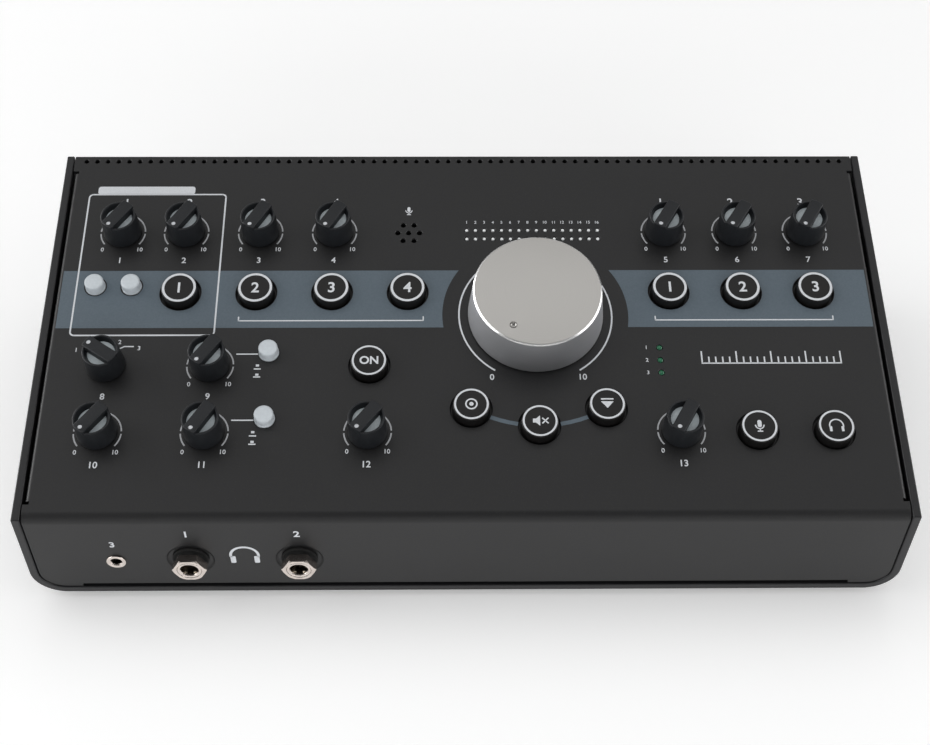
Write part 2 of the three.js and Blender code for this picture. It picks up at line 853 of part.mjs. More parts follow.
function controlBoard() {
  const half = caseWidth / 2 - controlBoardSide;
  const plate = box(-half, half, controlBoardFront, slopeLength - controlBoardRear,
    boardTop - boardThickness, boardTop);
  const pots = knobPlaces.map(([, column, row]) => potBody(potSize, column, row));
  const volumePot = potBody(volumePotSize, volumeColumn, volumeRow);
  const switches = buttonPlaces.map(([, column, row]) => switchBody(switchSize, switchHeight, column, row));
  const capSwitches = capPlaces.map(([, column, row]) =>
    switchBody(capSwitchSize, capSwitchHeight, column, row));
  const shaftEnd = shaftDepth + runningGap;
  const buttonEnd = buttonStemDepth + buttonTravel + runningGap;
  const capEnd = buttonStemDepth + capTravel + runningGap;
  const bores = [
    ...knobPlaces.map(([, column, row]) => blindBore(shaftRadius, shaftEnd, column, row)),
    blindBore(shaftRadius, shaftEnd, volumeColumn, volumeRow),
    ...buttonPlaces.map(([, column, row]) => blindBore(buttonStemRadius, buttonEnd, column, row)),
    ...capPlaces.map(([, column, row]) => blindBore(capStemRadius, capEnd, column, row)),
  ];
  return cut(join(plate, ...pots, volumePot, ...switches, ...capSwitches), ...bores);
}

function mainBoard() {
  const half = caseWidth / 2 - mainBoardSide;
  const back = rearPanelFace - sheet - mainBoardRear;
  const plate = box(-half, half, mainBoardFront, back, mainBoardFloor, mainBoardTop);
  const rooted = mainBoardTop - boardThickness / 2;
  const capacitors = Array.from({ length: capacitorCount }, (_, i) =>
    rod(capacitorRadius, rooted, mainBoardTop + capacitorHeight, boreSides)
      .translate((i - (capacitorCount - 1) / 2) * capacitorPitch, capacitorRowShare * caseDepth, 0));
  const chips = Array.from({ length: chipCount }, (_, i) =>
    box(-chipWidth / 2, chipWidth / 2, -chipWidth / 2, chipWidth / 2, rooted, mainBoardTop + chipHeight)
      .translate((i - (chipCount - 1) / 2) * chipPitch, chipRowShare * caseDepth, 0));
  const heatSink = box(-heatSinkWidth / 2, heatSinkWidth / 2, -heatSinkDepth / 2, heatSinkDepth / 2,
    rooted, mainBoardTop + heatSinkHeight)
    .translate(caseWidth / 2 - heatSinkFromSide, capacitorRowShare * caseDepth, 0);
  return join(plate, ...capacitors, ...chips, heatSink);
}

// Sockets, with their axis along Y

function phonesJack() {
  const front = fasciaInset + recessDepth + sheet + seatGap;
  const body = box(-jackBodyWidth / 2, jackBodyWidth / 2, front, front + jackBodyDepth,
    onMainBoard, onMainBoard + jackBodyHeight);
  const thread = rodAlongY(jackThreadRadius, -phonesNose, front + sheet, boreSides)
    .translate(0, 0, jackHeight);
  const bore = rodAlongY(jackBore, -phonesNose - overrun, jackBoreDepth).translate(0, 0, jackHeight);
  return cut(join(body, thread), bore);
}

function phonesNut() {
  const cornerRadius = nutAcrossFlats / 2 / Math.cos(Math.PI / nutSides);
  const back = nutFace + nutThickness;
  const hex = rodAlongY(cornerRadius, nutFace, back, nutSides).rotateY(Math.PI / nutSides);
  const rounding = turned([
    [0, nutFace],
    [cornerRadius - nutChamfer, nutFace],
    [cornerRadius + overrun, nutFace + nutChamfer + overrun],
    [cornerRadius + overrun, back + overrun],
    [0, back + overrun],
  ], holeSides).rotateX(-Math.PI / 2);
  return cut(
    common(hex, rounding),
    rodAlongY(jackThreadRadius + runningGap, nutFace - overrun, back + overrun),
  );
}

function auxJack() {
  const front = fasciaInset + sheet + seatGap;
  const body = box(-auxBodyWidth / 2, auxBodyWidth / 2, front, front + auxBodyDepth,
    onMainBoard, onMainBoard + auxBodyHeight);
  const neck = rodAlongY(auxNeckRadius, fasciaInset - auxProud, front + sheet, boreSides)
    .translate(0, 0, auxHeight);
  const ring = rodAlongY(auxRingRadius, fasciaInset - auxProud - seatGap, fasciaInset - seatGap, knobSides)
    .translate(0, 0, auxHeight);
  const bore = rodAlongY(auxBore, -auxProud - overrun, auxBodyDepth, hiddenSides)
    .translate(0, 0, auxHeight);
  return cut(join(body, neck, ring), bore);
}

function linePair() {
  const back = rearPanelFace - sheet - seatGap;
  const body = box(-jackBodyWidth / 2, jackBodyWidth / 2, back - jackBodyDepth, back,
    onMainBoard, jackHeight + lineRise + lineBodyMargin);
  const rises = [0, lineRise];
  const noses = rises.map((rise) =>
    rodAlongY(jackThreadRadius, back - sheet, lineFace, boreSides).translate(0, 0, jackHeight + rise));
  const bores = rises.map((rise) =>
    rodAlongY(jackBore, lineFace - jackBoreDepth, lineFace + overrun).translate(0, 0, jackHeight + rise));
  return cut(join(body, ...noses), ...bores);
}

function comboJack() {
  const face = rearPanelFace + comboFlangeThickness;
  const flange = outline([
    [-comboFlangeWidth / 2, -comboFlangeHeight / 2, comboFlangeRadius],
    [comboFlangeWidth / 2, -comboFlangeHeight / 2, comboFlangeRadius],
    [comboFlangeWidth / 2, comboFlangeHeight / 2, comboFlangeRadius],
    [-comboFlangeWidth / 2, comboFlangeHeight / 2, comboFlangeRadius],
  ]);
  const barrel = rodAlongY(comboRadius, rearPanelFace - comboDepth / 2, face - sheet / 2);
  const blockBack = rearPanelFace - sheet - seatGap;
  const block = box(-comboBlockWidth / 2, comboBlockWidth / 2, rearPanelFace - comboDepth, blockBack,
    onMainBoard - comboHeight, comboRadius);
  const mouth = cut(
    rodAlongY(comboMouthRadius, face - comboMouthDepth, face + overrun),
    rodAlongY(comboCoreRadius, face - comboMouthDepth - overrun, face - comboFlangeThickness),
  );
  const bore = rodAlongY(jackBore, face - jackBoreDepth, face + overrun);
  const pinHoles = [0, 1, 2].map((i) => (i * 2 * Math.PI) / 3 + Math.PI / 2).map((angle) =>
    rodAlongY(comboPinRadius, face - comboDepth / 2, face, tinySides)
      .translate(comboPinCircle * Math.cos(angle), 0, comboPinCircle * Math.sin(angle)));
  return cut(join(prismY(flange, rearPanelFace, face), barrel, block), mouth, bore, ...pinHoles);
}

function usbPort() {
  const face = rearPanelFace + usbProud;
  const shell = box(-usbWidth / 2, usbWidth / 2, face - usbDepth, face, 0, usbHeight);
  const cavity = box(-usbWidth / 2 + usbWall, usbWidth / 2 - usbWall, face - usbCavity, face + overrun,
    usbWall, usbHeight - usbWall);
  const tongue = box(-usbTongueWidth / 2, usbTongueWidth / 2, face - usbCavity - overrun,
    face - usbTongueInset, (usbHeight - usbTongueHeight) / 2, (usbHeight + usbTongueHeight) / 2);
  return join(cut(shell, cavity), tongue);
}

function dcInlet() {
  const face = rearPanelFace + inletProud;
  const back = rearPanelFace - sheet - seatGap;
  const body = box(-inletWidth / 2, inletWidth / 2, face - inletDepth, back, 0, inletWidth);
  const nose = rodAlongY(inletRadius, back - sheet, face, boreSides).translate(0, 0, inletAxisHeight);
  const bore = rodAlongY(inletBore, face - inletDepth + sheet, face + overrun, hiddenSides)
    .translate(0, 0, inletAxisHeight);
  const pin = rodAlongY(inletPinRadius, face - inletDepth + sheet / 2, face - sheet, tinySides)
    .translate(0, 0, inletAxisHeight);
  return join(cut(join(body, nose), bore), pin);
}

function switchHousing() {
  const face = rearPanelFace + bezelThickness;
  const bezel = outline([
    [-bezelWidth / 2, -bezelHeight / 2, bezelRadius],
    [bezelWidth / 2, -bezelHeight / 2, bezelRadius],
    [bezelWidth / 2, bezelHeight / 2, bezelRadius],
    [-bezelWidth / 2, bezelHeight / 2, bezelRadius],
  ]);
  const body = box(-housingWidth / 2, housingWidth / 2, face - housingDepth, face - sheet / 2,
    -housingHeight / 2, housingHeight / 2);
  const pocketHalf = rockerRadius + runningGap;
  const pocket = box(-rockerWidth / 2 - runningGap, rockerWidth / 2 + runningGap,
    face - rockerPivotDepth - rockerRadius - runningGap, face + overrun, -pocketHalf, pocketHalf);
  const pinReach = rockerWidth / 2 + pivotPinLength + runningGap;
  const pinHole = rodAlongY(pivotPinRadius + runningGap, -pinReach, pinReach, hiddenSides)
    .rotateZ(Math.PI / 2).translate(0, face - rockerPivotDepth, 0);
  return cut(join(prismY(bezel, rearPanelFace, face), body), pocket, pinHole);
}

// The rocker about its pivot, with its face towards +Y
function powerRocker() {
  const swing = THREE.MathUtils.degToRad(rockerSwing);
  const edge = Math.sqrt(rockerRadius ** 2 - rockerDepth ** 2);
  const section = outline([
    [-rockerDepth, -edge],
    [0, -rockerRadius],
    [rockerFace, -edge],
    [rockerFace - edge * Math.tan(swing), 0],
    [rockerFace, edge],
    [0, rockerRadius],
    [-rockerDepth, edge],
  ]);
  const block = prismX(section, -rockerWidth / 2, rockerWidth / 2).rotateX(swing);
  const pinReach = rockerWidth / 2 + pivotPinLength;
  const pin = rodAlongY(pivotPinRadius, -pinReach, pinReach, hiddenSides).rotateZ(Math.PI / 2);
  return join(block, pin);
}

// Assembly

const controller = new THREE.Group();
const chassis = new THREE.Group();
chassis.position.z = footHeight;
controller.add(chassis);
const panel = new THREE.Group();
panel.position.set(0, 0, frontHeight);
panel.rotation.x = slope;
chassis.add(panel);

addPiece(chassis, 'bottom_shell', bottomShell(), finishes.shell);
addPiece(panel, 'top_cover', topCover(), finishes.cover);
addPiece(chassis, 'rear_panel', rearPanel(), finishes.cover);
addPiece(panel, 'control_board', controlBoard(), finishes.board);
addPiece(chassis, 'main_board', mainBoard(), finishes.board);

const footNames = ['foot_front_left', 'foot_front_right', 'foot_rear_left', 'foot_rear_right'];
footPlaces().forEach(([x, y], i) => {
  addPiece(chassis, footNames[i], foot(), finishes.rubber, [x, y, 0]);
});

const turnOf = (degrees) => -THREE.MathUtils.degToRad(degrees);
knobPlaces.forEach(([name, column, row]) => {
  addPiece(panel, name, smallKnob(), finishes.knob, [column, row, 0], turnOf(knobRestAngles[name]));
});
addPiece(panel, 'volume_knob', volumeKnob(), finishes.volume, [volumeColumn, volumeRow, 0],
  turnOf(volumeRestAngle));
buttonPlaces.forEach(([name, column, row]) => {
  addPiece(panel, name, button(), finishes.button, [column, row, 0]);
});
capPlaces.forEach(([name, column, row]) => {
  addPiece(panel, name, switchCap(), finishes.cap, [column, row, 0]);
});
addPiece(panel, 'level_meter', levelMeter(), finishes.lens);
addPiece(panel, 'status_lamps', statusLamps(), finishes.lens);
addPiece(panel, 'talkback_mic', talkbackMic(), finishes.steel, [micColumn, micRow, 0]);

phonesColumns.forEach((x, i) => {
  addPiece(chassis, `phones_jack_${i + 1}`, phonesJack(), finishes.socket, [x, 0, 0]);
  addPiece(chassis, `phones_nut_${i + 1}`, phonesNut(), finishes.nut, [x, 0, jackHeight]);
});
addPiece(chassis, 'aux_jack', auxJack(), finishes.steel, [auxColumn, 0, 0]);
lineColumns.forEach((x, i) => {
  addPiece(chassis, `line_jacks_${i + 1}`, linePair(), finishes.socket, [x, 0, 0]);
});
comboColumns.forEach((x, i) => {
  addPiece(chassis, `combo_jack_${i + 1}`, comboJack(), finishes.socket, [x, 0, comboHeight]);
});
addPiece(chassis, 'usb_port', usbPort(), finishes.steel, [usbColumn, 0, onMainBoard]);
addPiece(chassis, 'dc_inlet', dcInlet(), finishes.socket, [inletColumn, 0, onMainBoard]);
addPiece(chassis, 'power_switch', switchHousing(), finishes.socket, [switchColumn, 0, switchAxisHeight]);
addPiece(chassis, 'power_rocker', powerRocker(), finishes.knob,
  [switchColumn, rearPanelFace + bezelThickness - rockerPivotDepth, switchAxisHeight]);

const outerBox = new THREE.Box3().setFromObject(controller, true);
chassis.position.y = -(outerBox.min.y + outerBox.max.y) / 2;

export default controller;
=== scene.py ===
import json
import math

import bmesh
import bpy
from mathutils import Matrix, Vector


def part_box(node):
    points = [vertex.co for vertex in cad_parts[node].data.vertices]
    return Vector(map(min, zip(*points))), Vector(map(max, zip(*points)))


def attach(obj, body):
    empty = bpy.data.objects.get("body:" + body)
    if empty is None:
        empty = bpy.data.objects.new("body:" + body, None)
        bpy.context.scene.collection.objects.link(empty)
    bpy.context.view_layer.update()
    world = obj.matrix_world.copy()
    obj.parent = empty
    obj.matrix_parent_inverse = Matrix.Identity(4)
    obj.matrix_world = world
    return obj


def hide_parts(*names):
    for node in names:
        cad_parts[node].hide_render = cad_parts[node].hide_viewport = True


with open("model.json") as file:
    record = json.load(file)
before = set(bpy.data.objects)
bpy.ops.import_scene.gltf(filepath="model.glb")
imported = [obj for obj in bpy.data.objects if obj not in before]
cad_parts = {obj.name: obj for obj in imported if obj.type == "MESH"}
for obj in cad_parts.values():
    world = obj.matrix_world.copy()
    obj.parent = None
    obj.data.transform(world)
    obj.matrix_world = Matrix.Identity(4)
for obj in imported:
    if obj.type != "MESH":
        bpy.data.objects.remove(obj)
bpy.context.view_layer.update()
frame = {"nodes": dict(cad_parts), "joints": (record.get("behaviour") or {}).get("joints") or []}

scene = bpy.context.scene
nodes = frame["nodes"]
mm = 0.001
print("stage: frame loaded,", len(nodes), "nodes")

# Two working frames in millimetres: the case, and its sloped panel (right, up the slope, above it)

volumeJoint = next(joint for joint in frame["joints"] if joint["name"] == "volume_turn")
panelNormal = -Vector(volumeJoint["axis"])
slope = math.atan2(-panelNormal.y, panelNormal.z)
shellLow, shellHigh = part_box("bottom_shell")
volumeFoot = Vector(volumeJoint["pos_m"])
frontEdge = volumeFoot.z - (volumeFoot.y - shellLow.y) * math.tan(slope)
toCase = Matrix.Translation((0, shellLow.y, shellLow.z)) @ Matrix.Scale(mm, 4)
toPanel = (Matrix.Translation((0, shellLow.y, frontEdge))
           @ Matrix.Rotation(slope, 4, "X") @ Matrix.Scale(mm, 4))
fromCase = toCase.inverted()
fromPanel = toPanel.inverted()

caseWidth = (shellHigh.x - shellLow.x) / mm
caseDepth = (shellHigh.y - shellLow.y) / mm
rearHeight = caseDepth * math.tan(slope) + (frontEdge - shellLow.z) / mm
frontHeight = (frontEdge - shellLow.z) / mm


def boxIn(matrix, node):
    # a node's lowest and highest corners, measured in one of the working frames
    points = [matrix @ vert.co for vert in nodes[node].data.vertices]
    low = Vector([min(point[i] for point in points) for i in range(3)])
    high = Vector([max(point[i] for point in points) for i in range(3)])
    return low, high


def spotOf(node):
    # middle of a control on the panel
    low, high = boxIn(fromPanel, node)
    return Vector(((low.x + high.x) / 2, (low.y + high.y) / 2, 0))


def onPanel(depth, height):
    # a point of the case's middle plane, as (up the slope, above the panel)
    point = fromPanel @ toCase @ Vector((0, depth, height))
    return point.y, point.z


knobSpots = {joint["child"]: fromPanel @ Vector(joint["pos_m"])
             for joint in frame["joints"] if "knob" in joint["child"]}
volumeSpot = knobSpots.pop("volume_knob")
buttonSpots = {name: spotOf(name) for name in nodes if "button" in name}
capSpots = {name: spotOf(name) for name in nodes if "switch_cap" in name}

# Camera at the photograph's place, in millimetres from the case's front lower edge

cameraView = {
    "place": (-7.76, -305.11, 463.74),
    "turn": (41.754, -0.469, -0.619),
    "lens": 56.95,
    "sensor": 36.0,
}


def addCamera(view):
    data = bpy.data.cameras.new("photoCamera")
    data.lens = view["lens"]
    data.sensor_width = view["sensor"]
    data.sensor_fit = "HORIZONTAL"
    data.clip_start = 0.01
    camera = bpy.data.objects.new("photoCamera", data)
    camera.location = toCase @ Vector(view["place"])
    camera.rotation_euler = [math.radians(angle) for angle in view["turn"]]
    scene.collection.objects.link(camera)
    scene.camera = camera


addCamera(cameraView)

# Shader helpers


def srgb(red, green, blue):
    def linear(value):
        value /= 255
        return value / 12.92 if value <= 0.04045 else ((value + 0.055) / 1.055) ** 2.4
    return (linear(red), linear(green), linear(blue), 1.0)


def addNode(tree, kind, values=None, **settings):
    node = tree.nodes.new(kind)
    for key, value in settings.items():
        setattr(node, key, value)
    for key, value in (values or {}).items():
        node.inputs[key].default_value = value
    return node


def feed(tree, value, socket):
    # a constant is set on the socket, and another node's output is linked to it
    if isinstance(value, bpy.types.NodeSocket):
        tree.links.new(value, socket)
    else:
        socket.default_value = value


def addMath(tree, operation, first, second):
    node = addNode(tree, "ShaderNodeMath", operation=operation)
    feed(tree, first, node.inputs[0])
    feed(tree, second, node.inputs[1])
    return node.outputs["Value"]


def onObject(tree, kind, values=None, **settings):
    # a texture or mapping on the piece's Object coordinates
    node = addNode(tree, kind, values, **settings)
    place = addNode(tree, "ShaderNodeTexCoord")
    tree.links.new(place.outputs["Object"], node.inputs["Vector"])
    return node


def addLevel(tree, value, low, high):
    # 0 at the low value, 1 at the high one
    level = addNode(tree, "ShaderNodeMapRange", {"From Min": low, "From Max": high})
    tree.links.new(value, level.inputs["Value"])
    return level.outputs["Result"]


def newGroup(name, inputs, outputs):
    tree = bpy.data.node_groups.new(name, "ShaderNodeTree")
    for label, value in inputs.items():
        kind = "NodeSocketVector" if isinstance(value, tuple) else "NodeSocketFloat"
        socket = tree.interface.new_socket(name=label, in_out="INPUT", socket_type=kind)
        socket.default_value = value
    for label in outputs:
        tree.interface.new_socket(name=label, in_out="OUTPUT", socket_type="NodeSocketFloat")
    return tree, tree.nodes.new("NodeGroupInput"), tree.nodes.new("NodeGroupOutput")


def fineGrainGroup():
    # powder coat, moulded texture: small bumps plus a few darker or lighter flecks
    tree, given, result = newGroup("fineGrain", {"Grains per metre": 3000.0, "Fleck": 0.5},
                                   ("Height", "Fleck"))
    grain = onObject(tree, "ShaderNodeTexNoise", {"Detail": 2.0, "Roughness": 0.6})
    tree.links.new(given.outputs["Grains per metre"], grain.inputs["Scale"])
    tree.links.new(grain.outputs["Fac"], result.inputs["Height"])
    fleck = onObject(tree, "ShaderNodeTexNoise", {"Detail": 1.0})
    feed(tree, addMath(tree, "MULTIPLY", given.outputs["Grains per metre"], 0.37), fleck.inputs["Scale"])
    soft = addLevel(tree, fleck.outputs["Fac"], 0.35, 0.65)
    feed(tree, addMath(tree, "MULTIPLY", soft, given.outputs["Fleck"]), result.inputs["Fleck"])
    return tree


def handlingGroup():
    # broad smudges and faint dust that change how rough a surface looks
    tree, given, result = newGroup("handling", {"Amount": 0.06, "Rough": 0.5}, ("Roughness", "Dust"))
    broad = onObject(tree, "ShaderNodeTexNoise", {"Scale": 22.0, "Detail": 4.0, "Distortion": 0.6})
    dust = onObject(tree, "ShaderNodeTexVoronoi", {"Scale": 900.0, "Randomness": 1.0})
    centred = addMath(tree, "SUBTRACT", broad.outputs["Fac"], 0.5)
    swing = addMath(tree, "MULTIPLY", centred, given.outputs["Amount"])
    feed(tree, addMath(tree, "ADD", swing, given.outputs["Rough"]), result.inputs["Roughness"])
    speck = addLevel(tree, dust.outputs["Distance"], 0.09, 0.04)
    feed(tree, addMath(tree, "MULTIPLY", speck, broad.outputs["Fac"]), result.inputs["Dust"])
    return tree


def lathedGroup():
    # fine rings round an axis, as a turning tool leaves them
    tree, given, result = newGroup("lathed", {"Centre": (0.0, 0.0, 0.0), "Tilt": (0.0, 0.0, 0.0),
                                              "Rings per metre": 6000.0}, ("Height", "Ring"))
    centre = onObject(tree, "ShaderNodeMapping", vector_type="TEXTURE")
    tree.links.new(given.outputs["Centre"], centre.inputs["Location"])
    tree.links.new(given.outputs["Tilt"], centre.inputs["Rotation"])
    parts = addNode(tree, "ShaderNodeSeparateXYZ")
    tree.links.new(centre.outputs["Vector"], parts.inputs["Vector"])
    flat = addNode(tree, "ShaderNodeCombineXYZ")
    for axis in ("X", "Y"):
        tree.links.new(parts.outputs[axis], flat.inputs[axis])
    radius = addNode(tree, "ShaderNodeVectorMath", operation="LENGTH")
    tree.links.new(flat.outputs["Vector"], radius.inputs[0])
    rings = addNode(tree, "ShaderNodeTexNoise", {"Detail": 3.0, "Roughness": 0.7}, noise_dimensions="1D")
    feed(tree, addMath(tree, "ADD", radius.outputs["Value"], parts.outputs["Z"]), rings.inputs["W"])
    tree.links.new(given.outputs["Rings per metre"], rings.inputs["Scale"])
    tree.links.new(rings.outputs["Fac"], result.inputs["Height"])
    feed(tree, addLevel(tree, rings.outputs["Fac"], 0.3, 0.7), result.inputs["Ring"])
    return tree


groups = {"fineGrain": fineGrainGroup(), "handling": handlingGroup(), "lathed": lathedGroup()}


def useGroup(tree, name, **values):
    node = addNode(tree, "ShaderNodeGroup", node_tree=groups[name])
    for key, value in values.items():
        node.inputs[key.replace("_", " ")].default_value = value
    return node


def newFinish(name, sockets):
    material = bpy.data.materials.new(name)
    material.use_nodes = True
    tree = material.node_tree
    shader = tree.nodes["Principled BSDF"]
    for key, value in sockets.items():
        shader.inputs[key].default_value = value
    return material, tree, shader


def blendColour(tree, share, first, second):
    mix = addNode(tree, "ShaderNodeMix", data_type="RGBA")
    tree.links.new(share, mix.inputs["Factor"])
    feed(tree, first, mix.inputs["A"])
    feed(tree, second, mix.inputs["B"])
    return mix.outputs["Result"]


def dressShader(tree, shader, tone, roughness, height, bumps):
    # colour, gloss and bumps, whose depth is in thousandths of a millimetre
    tree.links.new(tone, shader.inputs["Base Color"])
    tree.links.new(roughness, shader.inputs["Roughness"])
    bump = addNode(tree, "ShaderNodeBump", {"Strength": 1.0, "Distance": bumps * mm / 1000})
    tree.links.new(height, bump.inputs["Height"])
    tree.links.new(bump.outputs["Normal"], shader.inputs["Normal"])


def grainyFinish(name, colour, fleckColour, rough, grains, bumps, specular, dust=0, metal=0.0, smudge=0.08):
    # paint, moulded plastic or plate: grain bumps, flecks of colour, smudges in the gloss
    material, tree, shader = newFinish(name, {"Metallic": metal, "Specular IOR Level": specular})
    grain = useGroup(tree, "fineGrain", Grains_per_metre=grains)
    wear = useGroup(tree, "handling", Amount=smudge, Rough=rough)
    tone = blendColour(tree, grain.outputs["Fleck"], srgb(*colour), srgb(*fleckColour))
    if dust:
        tone = blendColour(tree, wear.outputs["Dust"], tone, srgb(dust, dust, dust))
    dressShader(tree, shader, tone, wear.outputs["Roughness"], grain.outputs["Height"], bumps)
    return material


def turnedFinish(name, colour, lineColour, rough, rings, bumps):
    # metal with lathe rings round the volume knob's axis
    material, tree, shader = newFinish(name, {"Metallic": 1.0})
    centre = toPanel @ volumeSpot
    turned = useGroup(tree, "lathed", Centre=centre, Tilt=(slope, 0.0, 0.0), Rings_per_metre=rings)
    wear = useGroup(tree, "handling", Amount=0.05, Rough=rough)
    tone = blendColour(tree, turned.outputs["Ring"], srgb(*colour), srgb(*lineColour))
    dressShader(tree, shader, tone, wear.outputs["Roughness"], turned.outputs["Height"], bumps)
    return material


def platedFinish(name, colour, darkColour, rough):
    # nickel or tin plate: bright, with faint clouding
    return grainyFinish(name, colour, darkColour, rough, 900, 4, 0.5, metal=1.0, smudge=0.12)


def boardFinish():
    # green solder mask with paler copper tracks showing through
    material, tree, shader = newFinish("solderMask", {"Metallic": 0.0, "Specular IOR Level": 0.5})
    tracks = onObject(tree, "ShaderNodeTexVoronoi", {"Scale": 160.0}, distance="MANHATTAN")
    level = addLevel(tree, tracks.outputs["Distance"], 0.45, 0.55)
    wear = useGroup(tree, "handling", Amount=0.1, Rough=0.4)
    tone = blendColour(tree, level, srgb(24, 66, 38), srgb(38, 92, 54))
    dressShader(tree, shader, tone, wear.outputs["Roughness"], level, 30)
    return material


# Colour, fleck colour, roughness, grains per metre, bump depth and specular level of each finish.
# The cover and the shell are darker here than they read: half of their tone is the studio's sheen.
finishes = {
    "cover": grainyFinish("powderCoatCharcoal", (24, 24, 25), (30, 30, 31), 0.44, 3600, 22, 0.4, dust=80),
    "shell": grainyFinish("powderCoatShell", (24, 24, 26), (30, 30, 32), 0.42, 3600, 22, 0.42, dust=92),
    "rear": grainyFinish("powderCoatRear", (36, 36, 37), (46, 46, 47), 0.6, 3600, 22, 0.25),
    "knob": grainyFinish("knobPlastic", (26, 28, 31), (33, 35, 38), 0.45, 5200, 12, 0.3),
    "insert": grainyFinish("knobInsert", (188, 197, 201), (174, 184, 188), 0.5, 2600, 8, 0.4),
    "button": grainyFinish("buttonPlastic", (19, 18, 18), (26, 25, 25), 0.34, 4200, 6, 0.28),
    "cap": grainyFinish("capPlastic", (199, 206, 211), (189, 196, 201), 0.45, 2600, 6, 0.4),
    "ink": grainyFinish("whiteInk", (214, 217, 221), (200, 203, 207), 0.6, 5200, 6, 0.3),
    "scaleInk": grainyFinish("scaleInk", (172, 174, 177), (160, 162, 165), 0.6, 5200, 6, 0.3),
    "bandInk": grainyFinish("bandInk", (84, 96, 105), (92, 104, 114), 0.58, 3600, 18, 0.3),
    "socket": grainyFinish("socketPlastic", (22, 22, 23), (30, 30, 31), 0.5, 3000, 10, 0.4),
    "rubber": grainyFinish("footRubber", (24, 24, 24), (34, 34, 33), 0.85, 2200, 40, 0.25),
    "lamp": grainyFinish("lampWhite", (246, 248, 249), (234, 237, 238), 0.3, 1800, 4, 0.5),
    "greenLamp": grainyFinish("lampGreen", (30, 92, 64), (40, 112, 78), 0.3, 1800, 4, 0.5),
    "meterBody": grainyFinish("meterBody", (10, 10, 11), (16, 16, 17), 0.6, 3000, 10, 0.3),
    "felt": grainyFinish("micFelt", (14, 14, 15), (26, 26, 27), 0.95, 1500, 120, 0.1),
    "nickel": platedFinish("nickelPlate", (224, 214, 207), (205, 195, 188), 0.2),
    "steel": platedFinish("tinPlate", (196, 196, 194), (176, 176, 175), 0.3),
    "screw": platedFinish("blackScrew", (58, 58, 60), (40, 40, 42), 0.35),
    "contact": platedFinish("contactMetal", (214, 206, 190), (190, 180, 160), 0.25),
    "board": boardFinish(),
    "volume": turnedFinish("anodisedAluminium", (184, 182, 178), (191, 189, 186), 0.36, 5200, 6),
    "volumeEdge": turnedFinish("polishedChamfer", (224, 224, 223), (214, 214, 213), 0.3, 5200, 2),
    "volumeSide": turnedFinish("anodisedSide", (188, 189, 192), (198, 199, 202), 0.55, 3800, 6),
}
print("stage: finishes", len(finishes))

# Modelling helpers: every shape is made in millimetres and placed by a frame's matrix

mergeLimit = 0.0005  # points nearer than this are one
touchLimit = 0.01  # points nearer than this to an edge lie on it


def profileWire(bm, profile, closed=False, rounds=4):
    # points are (across, up) or (across, up, corner): the corner's size along its two edges
    verts = [bm.verts.new((point[0], 0, point[1])) for point in profile]
    for first, second in zip(verts, verts[1:]):
        bm.edges.new((first, second))
    if closed:
        bm.edges.new((verts[-1], verts[0]))
    roundCorners(bm, verts, profile, rounds)


def roundCorners(bm, verts, points, rounds):
    for vert, point in zip(verts, points):
        if len(point) == 3 and point[2] > 0:
            bmesh.ops.bevel(bm, geom=[vert], offset=point[2], offset_type="OFFSET", segments=rounds,
                            profile=0.5, affect="VERTICES", material=-1)


def faceOutwards(bm):
    bmesh.ops.recalc_face_normals(bm, faces=bm.faces[:])


def newVerts(made):
    # the vertices among what an operator made
    return [item for item in made["geom"] if isinstance(item, bmesh.types.BMVert)]


def shift(bm, x, y, z=0.0):
    bmesh.ops.translate(bm, verts=bm.verts[:], vec=(x, y, z))
    return bm


def move(bm, matrix):
    bmesh.ops.transform(bm, matrix=matrix, verts=bm.verts[:])
    return bm


def turnedShape(profile, steps=64, closed=False, rounds=3):
    bm = bmesh.new()
    profileWire(bm, profile, closed, rounds)
    bmesh.ops.spin(bm, geom=bm.verts[:] + bm.edges[:], axis=(0, 0, 1), cent=(0, 0, 0), angle=math.tau,
                   steps=steps, use_merge=True)
    bmesh.ops.remove_doubles(bm, verts=bm.verts[:], dist=mergeLimit)
    faceOutwards(bm)
    return bm


def discShape(radius, low, high, steps=48):
    return turnedShape([(0, low), (radius, low), (radius, high), (0, high)], steps)


def prismShape(corners, low, high, rounds=6):
    bm = bmesh.new()
    verts = [bm.verts.new((corner[0], corner[1], low)) for corner in corners]
    bm.faces.new(verts)
    roundCorners(bm, verts, corners, rounds)
    raised = bmesh.ops.extrude_face_region(bm, geom=bm.faces[:])
    bmesh.ops.translate(bm, verts=newVerts(raised), vec=(0, 0, high - low))
    faceOutwards(bm)
    return bm


def blockShape(width, length, low, high, corner=0.0, rounds=6):
    x, y = width / 2, length / 2
    return prismShape([(-x, -y, corner), (x, -y, corner), (x, y, corner), (-x, y, corner)], low, high, rounds)


def softenTop(bm, top, width):
    edges = [edge for edge in bm.edges if all(v.co.z > top - touchLimit for v in edge.verts)]
    bmesh.ops.bevel(bm, geom=edges, offset=width, offset_type="OFFSET", segments=3, profile=0.5,
                    affect="EDGES", material=-1)


def arcShape(radius, width, start, end, low, high):
    # a flat strip round an arc, its angles in degrees clockwise from straight down
    bm = bmesh.new()
    inner, outer = radius - width / 2, radius + width / 2
    corners = [(inner, low), (outer, low), (outer, high), (inner, high)]
    bm.faces.new([bm.verts.new((0, -across, up)) for across, up in corners])
    move(bm, spun(-start))
    steps = max(2, round((end - start) / 5))
    bmesh.ops.spin(bm, geom=bm.verts[:] + bm.edges[:] + bm.faces[:], axis=(0, 0, -1), cent=(0, 0, 0),
                   angle=math.radians(end - start), steps=steps, use_merge=False)
    faceOutwards(bm)
    return bm


